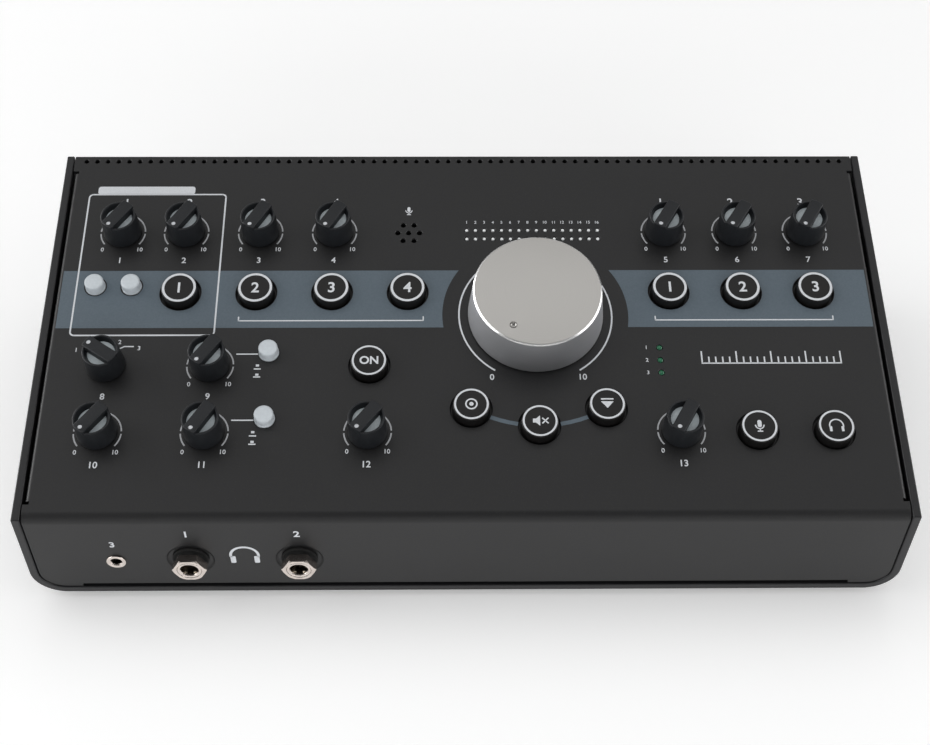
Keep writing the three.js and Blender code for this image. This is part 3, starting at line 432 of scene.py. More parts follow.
def letterShape(words, height, low, high, weight=0.0):
    # numbers of a given height, drawn bolder by the weight and centred on the origin
    curve = bpy.data.curves.new("letters", "FONT")
    curve.body = words
    curve.size = height / 0.7  # a figure is 0.7 of the font's size
    curve.extrude = (high - low) / 2
    curve.offset = weight
    curve.resolution_u = 5
    text = bpy.data.objects.new("letters", curve)
    scene.collection.objects.link(text)
    graph = bpy.context.evaluated_depsgraph_get()
    mesh = bpy.data.meshes.new_from_object(text.evaluated_get(graph))
    bm = bmesh.new()
    bm.from_mesh(mesh)
    bpy.data.objects.remove(text)
    bpy.data.meshes.remove(mesh)
    bmesh.ops.remove_doubles(bm, verts=bm.verts[:], dist=mergeLimit)
    middle = [(min(v.co[i] for v in bm.verts) + max(v.co[i] for v in bm.verts)) / 2 for i in range(3)]
    shift(bm, -middle[0], -middle[1], (low + high) / 2 - middle[2])
    faceOutwards(bm)
    return bm


def addShape(bm, shape, place=None, finish=0):
    # joins one shape into another, at its place and with one of the piece's finishes
    if place is not None:
        move(shape, place)
    for face in shape.faces:
        face.material_index = finish
    spare = bpy.data.meshes.new("spare")
    shape.to_mesh(spare)
    shape.free()
    bm.from_mesh(spare)
    bpy.data.meshes.remove(spare)
    return bm


def asFinish(shape, finish):
    # a shape whose faces all have one of the piece's finishes
    return addShape(bmesh.new(), shape, finish=finish)


def at(x, y, z=0.0):
    return Matrix.Translation((x, y, z))


def spun(angle):
    # degrees anticlockwise, seen from above
    return Matrix.Rotation(math.radians(angle), 4, "Z")


def facing(axis):
    # turns a shape made along +Z to face the front (-Y) or the back (+Y) of the case
    return Matrix.Rotation(math.radians(90 if axis == "front" else -90), 4, "X")


def meshObject(name, bm, finishNames=()):
    mesh = bpy.data.meshes.new(name)
    for finishName in finishNames:
        mesh.materials.append(finishes[finishName])
    bm.to_mesh(mesh)
    bm.free()
    made = bpy.data.objects.new(name, mesh)
    scene.collection.objects.link(made)
    return made


def settle(piece):
    # applies the modifiers
    graph = bpy.context.evaluated_depsgraph_get()
    mesh = bpy.data.meshes.new_from_object(piece.evaluated_get(graph), depsgraph=graph)
    piece.modifiers.clear()
    piece.data = mesh


def carve(piece, cutter, operation="DIFFERENCE"):
    tool = meshObject("cutter", cutter)
    modifier = piece.modifiers.new("carve", "BOOLEAN")
    modifier.operation = operation
    modifier.solver = "EXACT"
    modifier.object = tool
    settle(piece)
    bpy.data.objects.remove(tool)


def meshCopy(made):
    # takes an object's mesh back into a bmesh and removes the object
    bm = bmesh.new()
    bm.from_mesh(made.data)
    bpy.data.objects.remove(made)
    return bm


def carved(bm, *cutters, finishNames=()):
    # the shape with each cutter taken out of it
    piece = meshObject("blank", bm, finishNames)
    for cutter in cutters:
        carve(piece, cutter)
    return meshCopy(piece)


def thicken(piece, wall):
    sheet = piece.modifiers.new("wall", "SOLIDIFY")
    sheet.thickness = wall
    sheet.offset = -1
    sheet.use_even_offset = True


def flattenPlanes(mesh, least=0.0003):
    # large planes are shaded flat, so the rounds beside them don't bend their light
    planes = [face.normal.copy() for face in mesh.polygons if face.area > least]
    for face in mesh.polygons:
        if any(face.normal.dot(plane) > 0.99999 for plane in planes):
            face.use_smooth = False


def finishPiece(piece, place, body="case", slot=None, stands=(), sharp=32, planes=False):
    mesh = piece.data
    mesh.transform(place)
    mesh.shade_smooth()
    mesh.set_sharp_from_angle(angle=math.radians(sharp))
    if planes:
        flattenPlanes(mesh)
    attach(piece, body)
    if stands:
        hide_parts(*stands)
    return piece


def makePiece(name, bm, place, finishNames, **facts):
    return finishPiece(meshObject(name, bm, finishNames), place, **facts)


def pieceName(node):
    words = node.split("_")
    return words[0] + "".join(word.capitalize() for word in words[1:])


def makeControl(name, bm, spot, finishNames, slot, turn=0):
    # a knob, button or cap at its place on the panel, which rides on its own body
    makePiece(pieceName(name), bm, toPanel @ at(spot.x, spot.y) @ spun(turn), finishNames, body=name,
              slot=slot, stands=[name])


# Bottom shell: floor and side walls from one thick bent plate

shell = {"wall": 3.0, "corner": 12.0, "edge": 0.45}


def makeShell(size):
    half = caseWidth / 2
    bm = bmesh.new()
    profileWire(bm, [(-half, frontHeight), (-half, 0, size["corner"]), (half, 0, size["corner"]),
                     (half, frontHeight)], rounds=12)
    back = newVerts(bmesh.ops.extrude_edge_only(bm, edges=bm.edges[:]))
    bmesh.ops.translate(bm, verts=back, vec=(0, caseDepth, 0))
    for vert in back:
        if abs(vert.co.z - frontHeight) < touchLimit:
            vert.co.z = rearHeight
    faceOutwards(bm)
    floorFace = min(bm.faces, key=lambda face: face.calc_center_median().z)
    if floorFace.normal.z > 0:
        bmesh.ops.reverse_faces(bm, faces=bm.faces[:])
    piece = meshObject("caseShell", bm, ["shell"])
    thicken(piece, size["wall"])
    soft = piece.modifiers.new("edges", "BEVEL")
    soft.width = size["edge"]
    soft.segments = 3
    soft.limit_method = "ANGLE"
    soft.angle_limit = math.radians(40)
    settle(piece)
    finishPiece(piece, toCase, slot="shell_paint", stands=["bottom_shell"], planes=True)


makeShell(shell)
print("stage: shell")

# Top cover: folded sheet with the panel, fascia, rear lip and two side flanges

cover = {
    "sheet": 1.5,
    "fasciaInset": 0.4,
    "rearReach": 0.3,
    "sideGap": 0.45,
    "groove": 0.95,
    "sideBend": 1.7,
    "flangeDepth": 9.0,
    "frontBend": 3.8,
    "rearBend": 1.0,
    "lip": 9.0,
    "notch": 1.3,
    "notchFront": 6.9,
    "notchRear": 8.4,
    "slotHeight": 1.5,
    "slotFromSide": 18.0,
    "chamfer": 0.15,
    "buttonChamfer": 0.3,
    "buttonHole": 7.6,
    "capHole": 3.9,
    "shaftHole": 3.6,
    "meterHole": 0.95,
    "lampHole": 1.2,
    "micHole": 1.05,
    "ventHole": 0.95,
    "ventPitch": 4.28,
    "ventFromSide": 8.1,
    "ventFromRear": 2.8,
    "dish": 8.7,
    "dishDepth": 0.8,
    "dishSlope": 0.7,
    "threadHole": 4.7,
    "auxHole": 3.1,
    "overrun": 2.0,
}
fasciaFoot = shell["wall"] + cover["sideGap"]
coverHalf = caseWidth / 2 - shell["wall"] - cover["sideGap"]
slopeLength = caseDepth / math.cos(slope)


def nodeAxis(node, height):
    # a socket's middle in the case's frame, at a given height
    low, high = boxIn(fromCase, node)
    return Vector(((low.x + high.x) / 2, 0, height))


socketHeight = 20.1
auxHeight = 19.3
phonesSpots = [nodeAxis(node, socketHeight) for node in ("phones_jack_1", "phones_jack_2")]
auxSpot = nodeAxis("aux_jack", auxHeight)

meter = {"columns": 16, "pitch": 3.42, "rowPitch": 4.1, "lens": 0.64, "rise": 0.1, "foot": -2.0}
meterLow, meterHigh = boxIn(fromPanel, "level_meter")
meterMiddle = (meterLow + meterHigh) / 2
meterSpots = [
    Vector((meterMiddle.x + (column - (meter["columns"] - 1) / 2) * meter["pitch"],
            meterMiddle.y + side * meter["rowPitch"] / 2, 0))
    for column in range(meter["columns"]) for side in (-1, 1)
]
lampLow, lampHigh = boxIn(fromPanel, "status_lamps")
lampMiddle = (lampLow + lampHigh) / 2
lamp = {"pitch": 5.4, "lens": 1.05, "rise": 0.3, "foot": -2.0, "blockTop": -1.8}
lampSpots = [Vector((lampMiddle.x, lampMiddle.y + step * lamp["pitch"], 0)) for step in (-1, 0, 1)]
mic = {"pitch": 4.25, "holes": 6}
micMiddle = spotOf("talkback_mic")
micSpots = [micMiddle] + [
    micMiddle + Vector((mic["pitch"] * math.cos(turn), mic["pitch"] * math.sin(turn), 0))
    for turn in (math.tau * i / mic["holes"] for i in range(mic["holes"]))
]


def foldCorner(radius, turn):
    # how far a fold's round reaches back along each of its flats
    return radius * math.tan(turn / 2)


def coverFlat(size):
    flat = caseWidth / 2 - shell["wall"] - size["groove"] - size["sideBend"]
    rearFace = caseDepth + size["rearReach"]
    notchHalf, notchRear = size["notch"] / 2, slopeLength - size["notchRear"]
    rows = [
        onPanel(size["fasciaInset"], fasciaFoot - size["overrun"]),
        (size["fasciaInset"] / math.cos(slope), 0, foldCorner(size["frontBend"], math.pi / 2 - slope)),
        (size["notchFront"] - notchHalf, 0),
        (size["notchFront"] + notchHalf, 0),
        (notchRear - notchHalf, 0),
        (notchRear + notchHalf, 0),
        (rearFace / math.cos(slope), 0, foldCorner(size["rearBend"], math.pi / 2 + slope)),
        onPanel(rearFace, rearHeight - size["lip"]),
    ]
    bm = bmesh.new()
    profileWire(bm, rows, rounds=20)
    shift(move(bm, spun(90)), -flat, 0)
    right = newVerts(bmesh.ops.extrude_edge_only(bm, edges=bm.edges[:]))
    bmesh.ops.translate(bm, verts=right, vec=(2 * flat, 0, 0))
    for side in (-1, 1):
        sideEdges = [edge for edge in bm.edges
                     if all(abs(v.co.x - side * flat) < touchLimit for v in edge.verts)]
        middles = {edge: sum(v.co.y for v in edge.verts) / 2 for edge in sideEdges}
        flange = [edge for edge in sideEdges
                  if abs(edge.verts[0].co.y - edge.verts[1].co.y) > slopeLength / 2]
        ends = [edge for edge in sideEdges if middles[edge] < rows[2][0] or middles[edge] > rows[5][0]]
        bent = bmesh.ops.spin(bm, geom=flange + list({v for edge in flange for v in edge.verts}),
                              axis=(0, side, 0), cent=(side * flat, 0, -size["sideBend"]),
                              angle=math.pi / 2, steps=8, use_merge=False)
        lastEdges = [item for item in bent["geom_last"] if isinstance(item, bmesh.types.BMEdge)]
        for edges, reach in ((lastEdges, (0, 0, size["sideBend"] - size["flangeDepth"])),
                             (ends, (side * (coverHalf - flat), 0, 0))):
            grown = newVerts(bmesh.ops.extrude_edge_only(bm, edges=edges))
            bmesh.ops.translate(bm, verts=grown, vec=reach)
    bmesh.ops.remove_doubles(bm, verts=bm.verts[:], dist=mergeLimit)
    faceOutwards(bm)
    top = max(bm.faces, key=lambda face: face.calc_area())
    if top.normal.z < 0:
        bmesh.ops.reverse_faces(bm, faces=bm.faces[:])
    return bm


def punch(radius, size, steps, chamfer="chamfer"):
    # a round punch with a small chamfer at the panel's face
    edge = size[chamfer]
    return turnedShape([(0, -size["sheet"] - 1), (radius, -size["sheet"] - 1), (radius, -edge),
                        (radius + 2 * edge, edge), (0, edge)], steps)


def coverPunches(size):
    bm = bmesh.new()
    for spots, radius, steps in (
        (knobSpots.values(), size["shaftHole"], 24),
        ([volumeSpot], size["shaftHole"], 24),
        (buttonSpots.values(), size["buttonHole"], 64),
        (capSpots.values(), size["capHole"], 40),
        (meterSpots, size["meterHole"], 20),
        (lampSpots, size["lampHole"], 20),
        (micSpots, size["micHole"], 20),
    ):
        chamfer = "buttonChamfer" if radius == size["buttonHole"] else "chamfer"
        for spot in spots:
            addShape(bm, punch(radius, size, steps, chamfer), at(spot.x, spot.y))
    reach = caseWidth / 2 - size["ventFromSide"]
    count = round(2 * reach / size["ventPitch"]) + 1
    for i in range(count):
        spot = -reach + 2 * reach * i / (count - 1)
        addShape(bm, punch(size["ventHole"], size, 20), at(spot, slopeLength - size["ventFromRear"]))
    return bm


def fasciaTools(size):
    # dishes round the headphone sockets, and the holes for the three threads
    bm = bmesh.new()
    face = -size["fasciaInset"]
    floor, through, above = face - size["dishDepth"], face - size["sheet"] - 1, face + size["dishDepth"]
    for spot in phonesSpots:
        tool = turnedShape([(0, through), (size["threadHole"], through), (size["threadHole"], floor),
                            (size["dish"] - size["dishSlope"], floor, 0.5),
                            (size["dish"] + size["dishSlope"], above), (0, above)], 72)
        addShape(bm, tool, at(*spot) @ facing("front"))
    return addShape(bm, discShape(size["auxHole"], through, 1, 32), at(*auxSpot) @ facing("front"))


def fasciaOutline(size):
    # keeps the cover inside the shell's round corners and leaves the slot along the lower edge
    slotEnd = caseWidth / 2 - size["slotFromSide"]
    corner = shell["corner"] - shell["wall"] - size["sideGap"]
    high, low, slotTop = rearHeight + 5, fasciaFoot, fasciaFoot + size["slotHeight"]
    corners = [(-coverHalf, high), (-coverHalf, low, corner), (-slotEnd, low), (-slotEnd, slotTop),
               (slotEnd, slotTop), (slotEnd, low), (coverHalf, low, corner), (coverHalf, high)]
    return move(prismShape(corners, -caseDepth - 5, 5, rounds=10), facing("front"))


def makeCover(size):
    piece = meshObject("coverSheet", coverFlat(size), ["cover"])
    thicken(piece, size["sheet"])
    settle(piece)
    caseToPanel = fromPanel @ toCase
    carve(piece, move(fasciaOutline(size), caseToPanel), "INTERSECT")
    carve(piece, move(fasciaTools(size), caseToPanel))
    carve(piece, coverPunches(size))
    finishPiece(piece, toPanel, slot="cover_paint", stands=["top_cover"], sharp=24, planes=True)


makeCover(cover)
print("stage: cover")

# Small knobs: tapered skirt, recessed pale insert, a bar across the top with a white dot at its pointing end

knob = {
    "baseRadius": 7.35,
    "topRadius": 6.65,
    "height": 11.4,
    "lift": 0.8,
    "rim": 0.7,
    "insertRadius": 5.0,
    "insertHeight": 9.15,
    "barWidth": 4.9,
    "barTop": 12.6,
    "barReach": 0.2,
    "barCorner": 0.35,
    "barNose": 1.6,
    "dotRadius": 0.82,
    "dotFromCentre": 5.2,
    "dotDepth": 0.45,
    "skirtHollow": 0.9,
    "shaftRadius": 3.0,
    "shaftDepth": 8.0,
}
restTurns = {
    "gain_knob_1": 35, "gain_knob_2": 33, "input_trim_knob_1": 31, "input_trim_knob_2": 31,
    "output_trim_knob_1": 31, "output_trim_knob_2": 33, "output_trim_knob_3": 30, "cue_source_knob": 124,
    "phones_knob_1": 35, "phones_knob_2": 32, "direct_mix_knob": 38, "studio_level_knob": 38.5,
    "talkback_level_knob": 30,
}


def gripBar(size):
    # raised bar with rounded edges, its pointing end shaped to the knob and a small white-bottomed hole in it
    half, reach, top = size["barWidth"] / 2, size["topRadius"] + size["barReach"], size["barTop"]
    end = math.sqrt(reach ** 2 - half ** 2)
    corner, nose = size["barCorner"], size["barNose"]
    bar = prismShape([(-half, -end, corner), (0, -reach, nose), (half, -end, corner), (half, end, corner),
                      (0, reach, nose), (-half, end, corner)], size["insertHeight"] - 0.6, top, 5)
    softenTop(bar, top, 0.3)
    low, radius = top - size["dotDepth"], size["dotRadius"]
    hole = turnedShape([(0, low), (radius, low), (radius, top - 0.12), (radius + 0.3, top + 0.18),
                        (0, top + 0.18)], 28)
    bm = carved(bar, shift(hole, 0, -size["dotFromCentre"]))
    return bm, discShape(radius + 0.05, low - 0.2, low + 0.1, 28)


def knobShape(size):
    base, top, height, hollow = size["baseRadius"], size["topRadius"], size["height"], size["skirtHollow"]
    floor, roof, insert = size["insertHeight"] - 0.3, size["lift"] + hollow, size["insertRadius"]
    bm = turnedShape([
        (0, -size["shaftDepth"]), (size["shaftRadius"], -size["shaftDepth"], 0.3),
        (size["shaftRadius"], roof), (base - hollow, roof), (base - hollow, size["lift"]),
        (base, size["lift"], 0.25),
        (top, height, 0.25), (top - size["rim"], height, 0.12), (insert, floor), (0, floor),
    ], 72)
    bar, dot = gripBar(size)
    addShape(bm, bar)
    disc = turnedShape([(0, floor - 0.2), (insert + 0.1, floor - 0.2),
                        (insert + 0.1, size["insertHeight"], 0.1), (0, size["insertHeight"])], 72)
    addShape(bm, disc, finish=1)
    return addShape(bm, dot, at(0, -size["dotFromCentre"]), finish=2)


def makeKnobs(size):
    model = meshObject("smallKnob", knobShape(size))
    for name, spot in knobSpots.items():
        bm = bmesh.new()
        bm.from_mesh(model.data)
        makeControl(name, bm, spot, ["knob", "insert", "ink"], "knob_plastic", -restTurns[name])
    bpy.data.objects.remove(model)


makeKnobs(knob)

# Large knob: turned aluminium cap over a hub

volume = {
    "baseRadius": 25.6,
    "topRadius": 24.0,
    "height": 17.3,
    "lift": 0.8,
    "chamfer": 0.6,
    "wall": 3.0,
    "roof": 4.0,
    "hubRadius": 6.0,
    "hubLift": 2.0,
    "restTurn": 31.5,
    "dimpleRadius": 1.45,
    "dimpleDepth": 1.1,
    "dimpleFromEdge": 6.2,
}


def makeVolume(size):
    base, top, height, edge = size["baseRadius"], size["topRadius"], size["height"], size["chamfer"]
    roof = height - size["roof"]
    bm = turnedShape([
        (0, -knob["shaftDepth"]), (knob["shaftRadius"], -knob["shaftDepth"], 0.3),
        (knob["shaftRadius"], size["hubLift"]), (size["hubRadius"], size["hubLift"], 0.4),
        (size["hubRadius"], roof), (top - size["wall"], roof, 1.0), (base - size["wall"], size["lift"]),
        (base, size["lift"], 0.3), (top, height - edge, 0.06), (top - edge, height, 0.06), (0, height),
    ], 144)
    piece = meshObject("volumeKnob", bm, ["volume", "volumeEdge", "volumeSide"])
    sphere = (size["dimpleRadius"] ** 2 + size["dimpleDepth"] ** 2) / (2 * size["dimpleDepth"])
    dimple = bmesh.new()
    bmesh.ops.create_uvsphere(dimple, u_segments=40, v_segments=24, radius=sphere)
    carve(piece, shift(dimple, 0, size["dimpleFromEdge"] - top, height + sphere - size["dimpleDepth"]))
    finishPiece(piece, toPanel @ at(volumeSpot.x, volumeSpot.y) @ spun(-size["restTurn"]),
                body="volume_knob", slot="volume_metal", stands=["volume_knob"], sharp=28, planes=True)
    # the chamfer and the tapered side each have a turned finish of their own
    for face in piece.data.polygons:
        middle = fromPanel @ face.center - volumeSpot
        across = math.hypot(middle.x, middle.y)
        if middle.z > height - edge and across > top - 1.15 * edge:
            face.material_index = 1
        elif middle.z < height - edge / 2 and across > top - edge / 2:
            face.material_index = 2


makeVolume(volume)
print("stage: knobs")

# Push buttons: black body, white ring and a plain number or sign on the face

button = {
    "radius": 6.95,
    "topRadius": 6.75,
    "height": 3.8,
    "edge": 0.5,
    "flangeRadius": 8.8,
    "flangeTop": -1.8,
    "flange": 1.0,
    "stemRadius": 2.0,
    "stemDepth": 10.0,
    "ringRadius": 5.95,
    "ringWidth": 0.9,
    "thinRing": 0.7,
    "inkDepth": 0.05,
    "numberHeight": 4.4,
    "wordHeight": 3.168,
}
buttonFaces = {
    "source_button_1": "1", "source_button_2": "2", "source_button_3": "3", "source_button_4": "4",
    "output_button_1": "1", "output_button_2": "2", "output_button_3": "3",
    "studio_button": "ON", "mono_button": "dot", "mute_button": "speaker", "dim_button": "down",
    "talk_to_track_button": "mic", "talk_to_cue_button": "phones",
}


def stemProfile(size):
    # the stem under a button or cap and the flange that holds it below the panel
    foot = size["flangeTop"] - size["flange"]
    return [(0, -size["stemDepth"]), (size["stemRadius"], -size["stemDepth"], 0.2),
            (size["stemRadius"], foot), (size["flangeRadius"], foot),
            (size["flangeRadius"], size["flangeTop"])]


def speakerSign(low, high):
    bm = prismShape([(-2.6, -0.8), (-1.5, -0.8), (0, -2.1), (0, 2.1), (-1.5, 0.8), (-2.6, 0.8)], low, high)
    for turn in (45, -45):
        addShape(bm, blockShape(3.2, 0.5, low, high, 0.1, 2), at(1.9, 0) @ spun(turn))
    return bm


def dotSign(low, high):
    return addShape(arcShape(2.0, 0.55, 0, 360, low, high), discShape(0.8, low, high, 24))


def downSign(low, high):
    bm = prismShape([(-2.3, 0.9, 0.2), (0, -1.9, 0.2), (2.3, 0.9, 0.2)], low, high, 4)
    return addShape(bm, blockShape(4.6, 0.55, low, high, 0.1, 2), at(0, 1.9))


def micSign(low, high, scale=1.0):
    bm = shift(blockShape(1.5, 2.9, low, high, 0.7, 5), 0, 0.9)
    addShape(bm, arcShape(1.55, 0.45, -90, 90, low, high), at(0, 0.4))
    addShape(bm, blockShape(0.45, 1.1, low, high), at(0, -1.6))
    addShape(bm, blockShape(2.0, 0.45, low, high, 0.1, 2), at(0, -2.2))
    return move(bm, Matrix.Diagonal((scale, scale, 1, 1)))


def phonesSign(low, high, scale=1.0):
    # a plain headband with two pads
    bm = arcShape(2.5, 0.5, 78, 282, low, high)
    for side in (-1, 1):
        addShape(bm, blockShape(0.95, 2.1, low, high, 0.25, 3), at(side * 2.15, -1.3))
    return move(bm, Matrix.Diagonal((scale, scale, 1, 1)))


signs = {"speaker": speakerSign, "dot": dotSign, "down": downSign, "mic": micSign, "phones": phonesSign}


def buttonShape(size, face, ringWidth):
    height = size["height"]
    low, high = height - 0.1, height + size["inkDepth"]
    bm = turnedShape(stemProfile(size) + [
        (size["radius"], size["flangeTop"]), (size["topRadius"], height, size["edge"]), (0, height),
    ], 72, rounds=5)
    addShape(bm, arcShape(size["ringRadius"], ringWidth, 0, 360, low, high), finish=1)
    if face in signs:
        sign = signs[face](low, high)
    else:
        tall = size["numberHeight"] if len(face) == 1 else size["wordHeight"]
        sign = letterShape(face, tall, low, high, 0.12)
    return addShape(bm, sign, finish=1)


def makeButtons(size):
    for name, spot in buttonSpots.items():
        ringWidth = size["ringWidth" if name.startswith(("source", "output")) else "thinRing"]
        bm = buttonShape(size, buttonFaces[name], ringWidth)
        makeControl(name, bm, spot, ["button", "ink"], "button_plastic")


makeButtons(button)

# Small pale switch caps with a collar at the panel

cap = {"radius": 3.6, "collar": 3.78, "collarTop": 0.6, "height": 4.0, "edge": 0.8, "flangeRadius": 4.7,
       "flangeTop": -1.8, "flange": 1.0, "stemRadius": 1.4, "stemDepth": 10.0}


def makeCaps(size):
    for name, spot in capSpots.items():
        bm = turnedShape(stemProfile(size) + [
            (size["collar"], size["flangeTop"]), (size["collar"], size["collarTop"], 0.18),
            (size["radius"], size["collarTop"], 0.1), (size["radius"], size["height"], size["edge"]),
            (0, size["height"]),
        ], 48, rounds=4)
        makeControl(name, bm, spot, ["cap"], "cap_plastic")


makeCaps(cap)

# Lamps of the level meter and of the status column


def lensShape(size, corner, steps):
    # a low cone on a round stem
    return turnedShape([(0, size["foot"]), (size["lens"], size["foot"]), (size["lens"], -0.1, corner),
                        (0, size["rise"])], steps)


def makeLamps():
    bm = bmesh.new()
    for spot in meterSpots:
        addShape(bm, lensShape(meter, 0.2, 20), at(spot.x, spot.y))
    makePiece("meterLamps", bm, toPanel, ["lamp"], slot="lamp_plastic")
    bm = blockShape(lampHigh.x - lampLow.x, lampHigh.y - lampLow.y, lampLow.z, lamp["blockTop"], 0.4)
    shift(bm, lampMiddle.x, lampMiddle.y)
    for spot in lampSpots:
        addShape(bm, lensShape(lamp, 0.25, 24), at(spot.x, spot.y), finish=1)
    makePiece("statusLamps", bm, toPanel, ["meterBody", "greenLamp"], slot="lamp_plastic",
              stands=["status_lamps"])


makeLamps()
print("stage: buttons and lamps")

# Printed marks on the panel: thin ink with plain numbers and scales

ink = {
    "depth": 0.04,
    "sunk": -0.03,
    "scaleRadius": 8.6,
    "scaleWidth": 0.55,
    "scaleEnd": 51,
    "scaleGap": 3.5,
    "numberHeight": 1.75,
    "numberAcross": 7.3,
    "numberDown": 7.9,
    "nameHeight": 2.5,
    "nameDown": 13.0,
    "labelHeight": 3.4,
    "labelUp": 14.6,
    "volumeRadius": 29.0,
    "volumeWidth": 0.62,
    "volumeEnd": 32.8,
    "bandLow": 78.9,
    "bandHigh": 104.7,
    "bandCut": 35.3,
    "linkWidth": 1.6,
    "bracketDown": 12.6,
    "bracketTick": 1.6,
    "lineWidth": 0.5,
    "outlineLeft": -148.65,
    "outlineRight": -94.65,
    "outlineLow": 75.7,
    "outlineHigh": 141.1,
    "outlineCorner": 1.6,
    "outlineWidth": 0.62,
    "tabLow": 141.2,
    "tabHigh": 145.0,
    "tabLeft": -145.5,
    "tabRight": -107.1,
    "tabCorner": 1.1,
    "selectorPlaces": ((-11.9, 6.9), (4.0, 10.3), (11.4, 7.6)),
    "selectorLine": ((4.4, 7.5), (5.9, 8.3), (9.2, 8.3)),
    "endHeight": 2.4,
    "endAcross": 1.2,
    "endDown": 2.8,
    "meterHeight": 1.25,
    "meterUp": 3.7,
    "micUp": 10.5,
    "lampHeight": 1.5,
    "lampAcross": 5.0,
    "bracketReach": 6.0,
    "bandDepth": 0.02,
    "bandGap": 0.45,
    "linkClear": 7.8,
}
inkLow, inkHigh = ink["sunk"], ink["depth"]


def stroke(x0, y0, x1, y1, width):
    # a straight printed line between two points
    bm = blockShape(math.hypot(x1 - x0, y1 - y0) + width, width, inkLow, inkHigh, width * 0.3, 2)
    turn = Matrix.Rotation(math.atan2(y1 - y0, x1 - x0), 4, "Z")
    return move(bm, at((x0 + x1) / 2, (y0 + y1) / 2) @ turn)


def printNumber(bm, words, height, x, y, weight=0.03):
    addShape(bm, letterShape(words, height, inkLow, inkHigh, weight), at(x, y))


def selectorPrint():
    # three places in place of a scale, and a bent line to the places at the right
    bm = bmesh.new()
    spot = knobSpots["cue_source_knob"]
    for i, (x, y) in enumerate(ink["selectorPlaces"]):
        printNumber(bm, str(i + 1), ink["numberHeight"], spot.x + x, spot.y + y)
    bend = ink["selectorLine"]
    for (x0, y0), (x1, y1) in zip(bend, bend[1:]):
        addShape(bm, stroke(spot.x + x0, spot.y + y0, spot.x + x1, spot.y + y1, ink["lineWidth"]))
    return bm


def makeScalePrint():
    # one arc per quarter between the small gaps, round each knob but the selector
    bm = bmesh.new()
    stops = [ink["scaleEnd"], 90, 180, 270, 360 - ink["scaleEnd"]]
    for name, spot in knobSpots.items():
        if name == "cue_source_knob":
            continue
        for start, end in zip(stops, stops[1:]):
            first = start + (ink["scaleGap"] if start != stops[0] else 0)
            last = end - (ink["scaleGap"] if end != stops[-1] else 0)
            arc = arcShape(ink["scaleRadius"], ink["scaleWidth"], first, last, inkLow, inkHigh)
            addShape(bm, arc, at(spot.x, spot.y))
    makePiece("scalePrint", bm, toPanel, ["scaleInk"], slot="cap_plastic")


def makeNumberPrint():
    bm = selectorPrint()
    ends = ((-1, "0"), (1, "10"))
    for i, (name, spot) in enumerate(knobSpots.items()):
        if name != "cue_source_knob":
            for side, words in ends:
                printNumber(bm, words, ink["numberHeight"], spot.x + side * ink["numberAcross"],
                            spot.y - ink["numberDown"])
        printNumber(bm, str(i + 1), ink["nameHeight"], spot.x, spot.y - ink["nameDown"], 0.06)
        if spot.y > volumeSpot.y:
            # the upper row is counted per group: four inputs, then the outputs
            label = str(i + 1 if i < 4 else i - 3)
            printNumber(bm, label, ink["labelHeight"], spot.x, spot.y + ink["labelUp"], 0.08)
    turn, radius = math.radians(ink["volumeEnd"]), ink["volumeRadius"]
    for side, words in ends:
        across, down = radius * math.sin(turn) + ink["endAcross"], radius * math.cos(turn) + ink["endDown"]
        printNumber(bm, words, ink["endHeight"], volumeSpot.x + side * across, volumeSpot.y - down, 0.05)
    for column in range(meter["columns"]):
        spot = meterSpots[2 * column + 1]
        printNumber(bm, str(column + 1), ink["meterHeight"], spot.x, spot.y + ink["meterUp"], 0.02)
    addShape(bm, micSign(inkLow, inkHigh, 0.8), at(micMiddle.x, micMiddle.y + ink["micUp"]))
    for i, spot in enumerate(reversed(lampSpots)):
        printNumber(bm, str(i + 1), ink["lampHeight"], spot.x - ink["lampAcross"], spot.y)
    makePiece("numberPrint", bm, toPanel, ["ink"], slot="cap_plastic")


def bracket(bm, left, right, row):
    addShape(bm, stroke(left, row, right, row, ink["lineWidth"]))
    for x in (left, right):
        addShape(bm, stroke(x, row, x, row + ink["bracketTick"], ink["lineWidth"]))


def outlinePrint(bm):
    # the rounded outline round the first inputs, and the bare tab above it
    left, right, low, high = (ink["outline" + side] for side in ("Left", "Right", "Low", "High"))
    corner, width = ink["outlineCorner"], ink["outlineWidth"]
    for x in (left, right):
        addShape(bm, stroke(x, low + corner, x, high - corner, width))
    for y in (low, high):
        addShape(bm, stroke(left + corner, y, right - corner, y, width))
    for x, y, start in ((left + corner, low + corner, 0), (left + corner, high - corner, 90),
                        (right - corner, high - corner, 180), (right - corner, low + corner, 270)):
        addShape(bm, arcShape(corner, width, start, start + 90, inkLow, inkHigh), at(x, y))
    left, right, low, high = (ink["tab" + side] for side in ("Left", "Right", "Low", "High"))
    tab = blockShape(right - left, high - low, inkLow, inkHigh, ink["tabCorner"], 6)
    addShape(bm, tab, at((left + right) / 2, (low + high) / 2))


def capPrint(bm, number):
    # a line from a headphone knob to its cap, and two small signs: cap out, cap in
    spot, cap = knobSpots[f"phones_knob_{number}"], capSpots[f"phones_switch_cap_{number}"]
    y = spot.y + 4.9
    addShape(bm, stroke(spot.x + 9.6, y, cap.x - 4.2, y, ink["lineWidth"]))
    for row, lift in ((-6.2, 0.6), (-9.6, 0.06)):
        addShape(bm, blockShape(2.6, 0.5, inkLow, inkHigh), at(cap.x - 3.9, cap.y + row - 0.9))
        addShape(bm, blockShape(1.2, 0.9, inkLow, inkHigh), at(cap.x - 3.9, cap.y + row + lift))


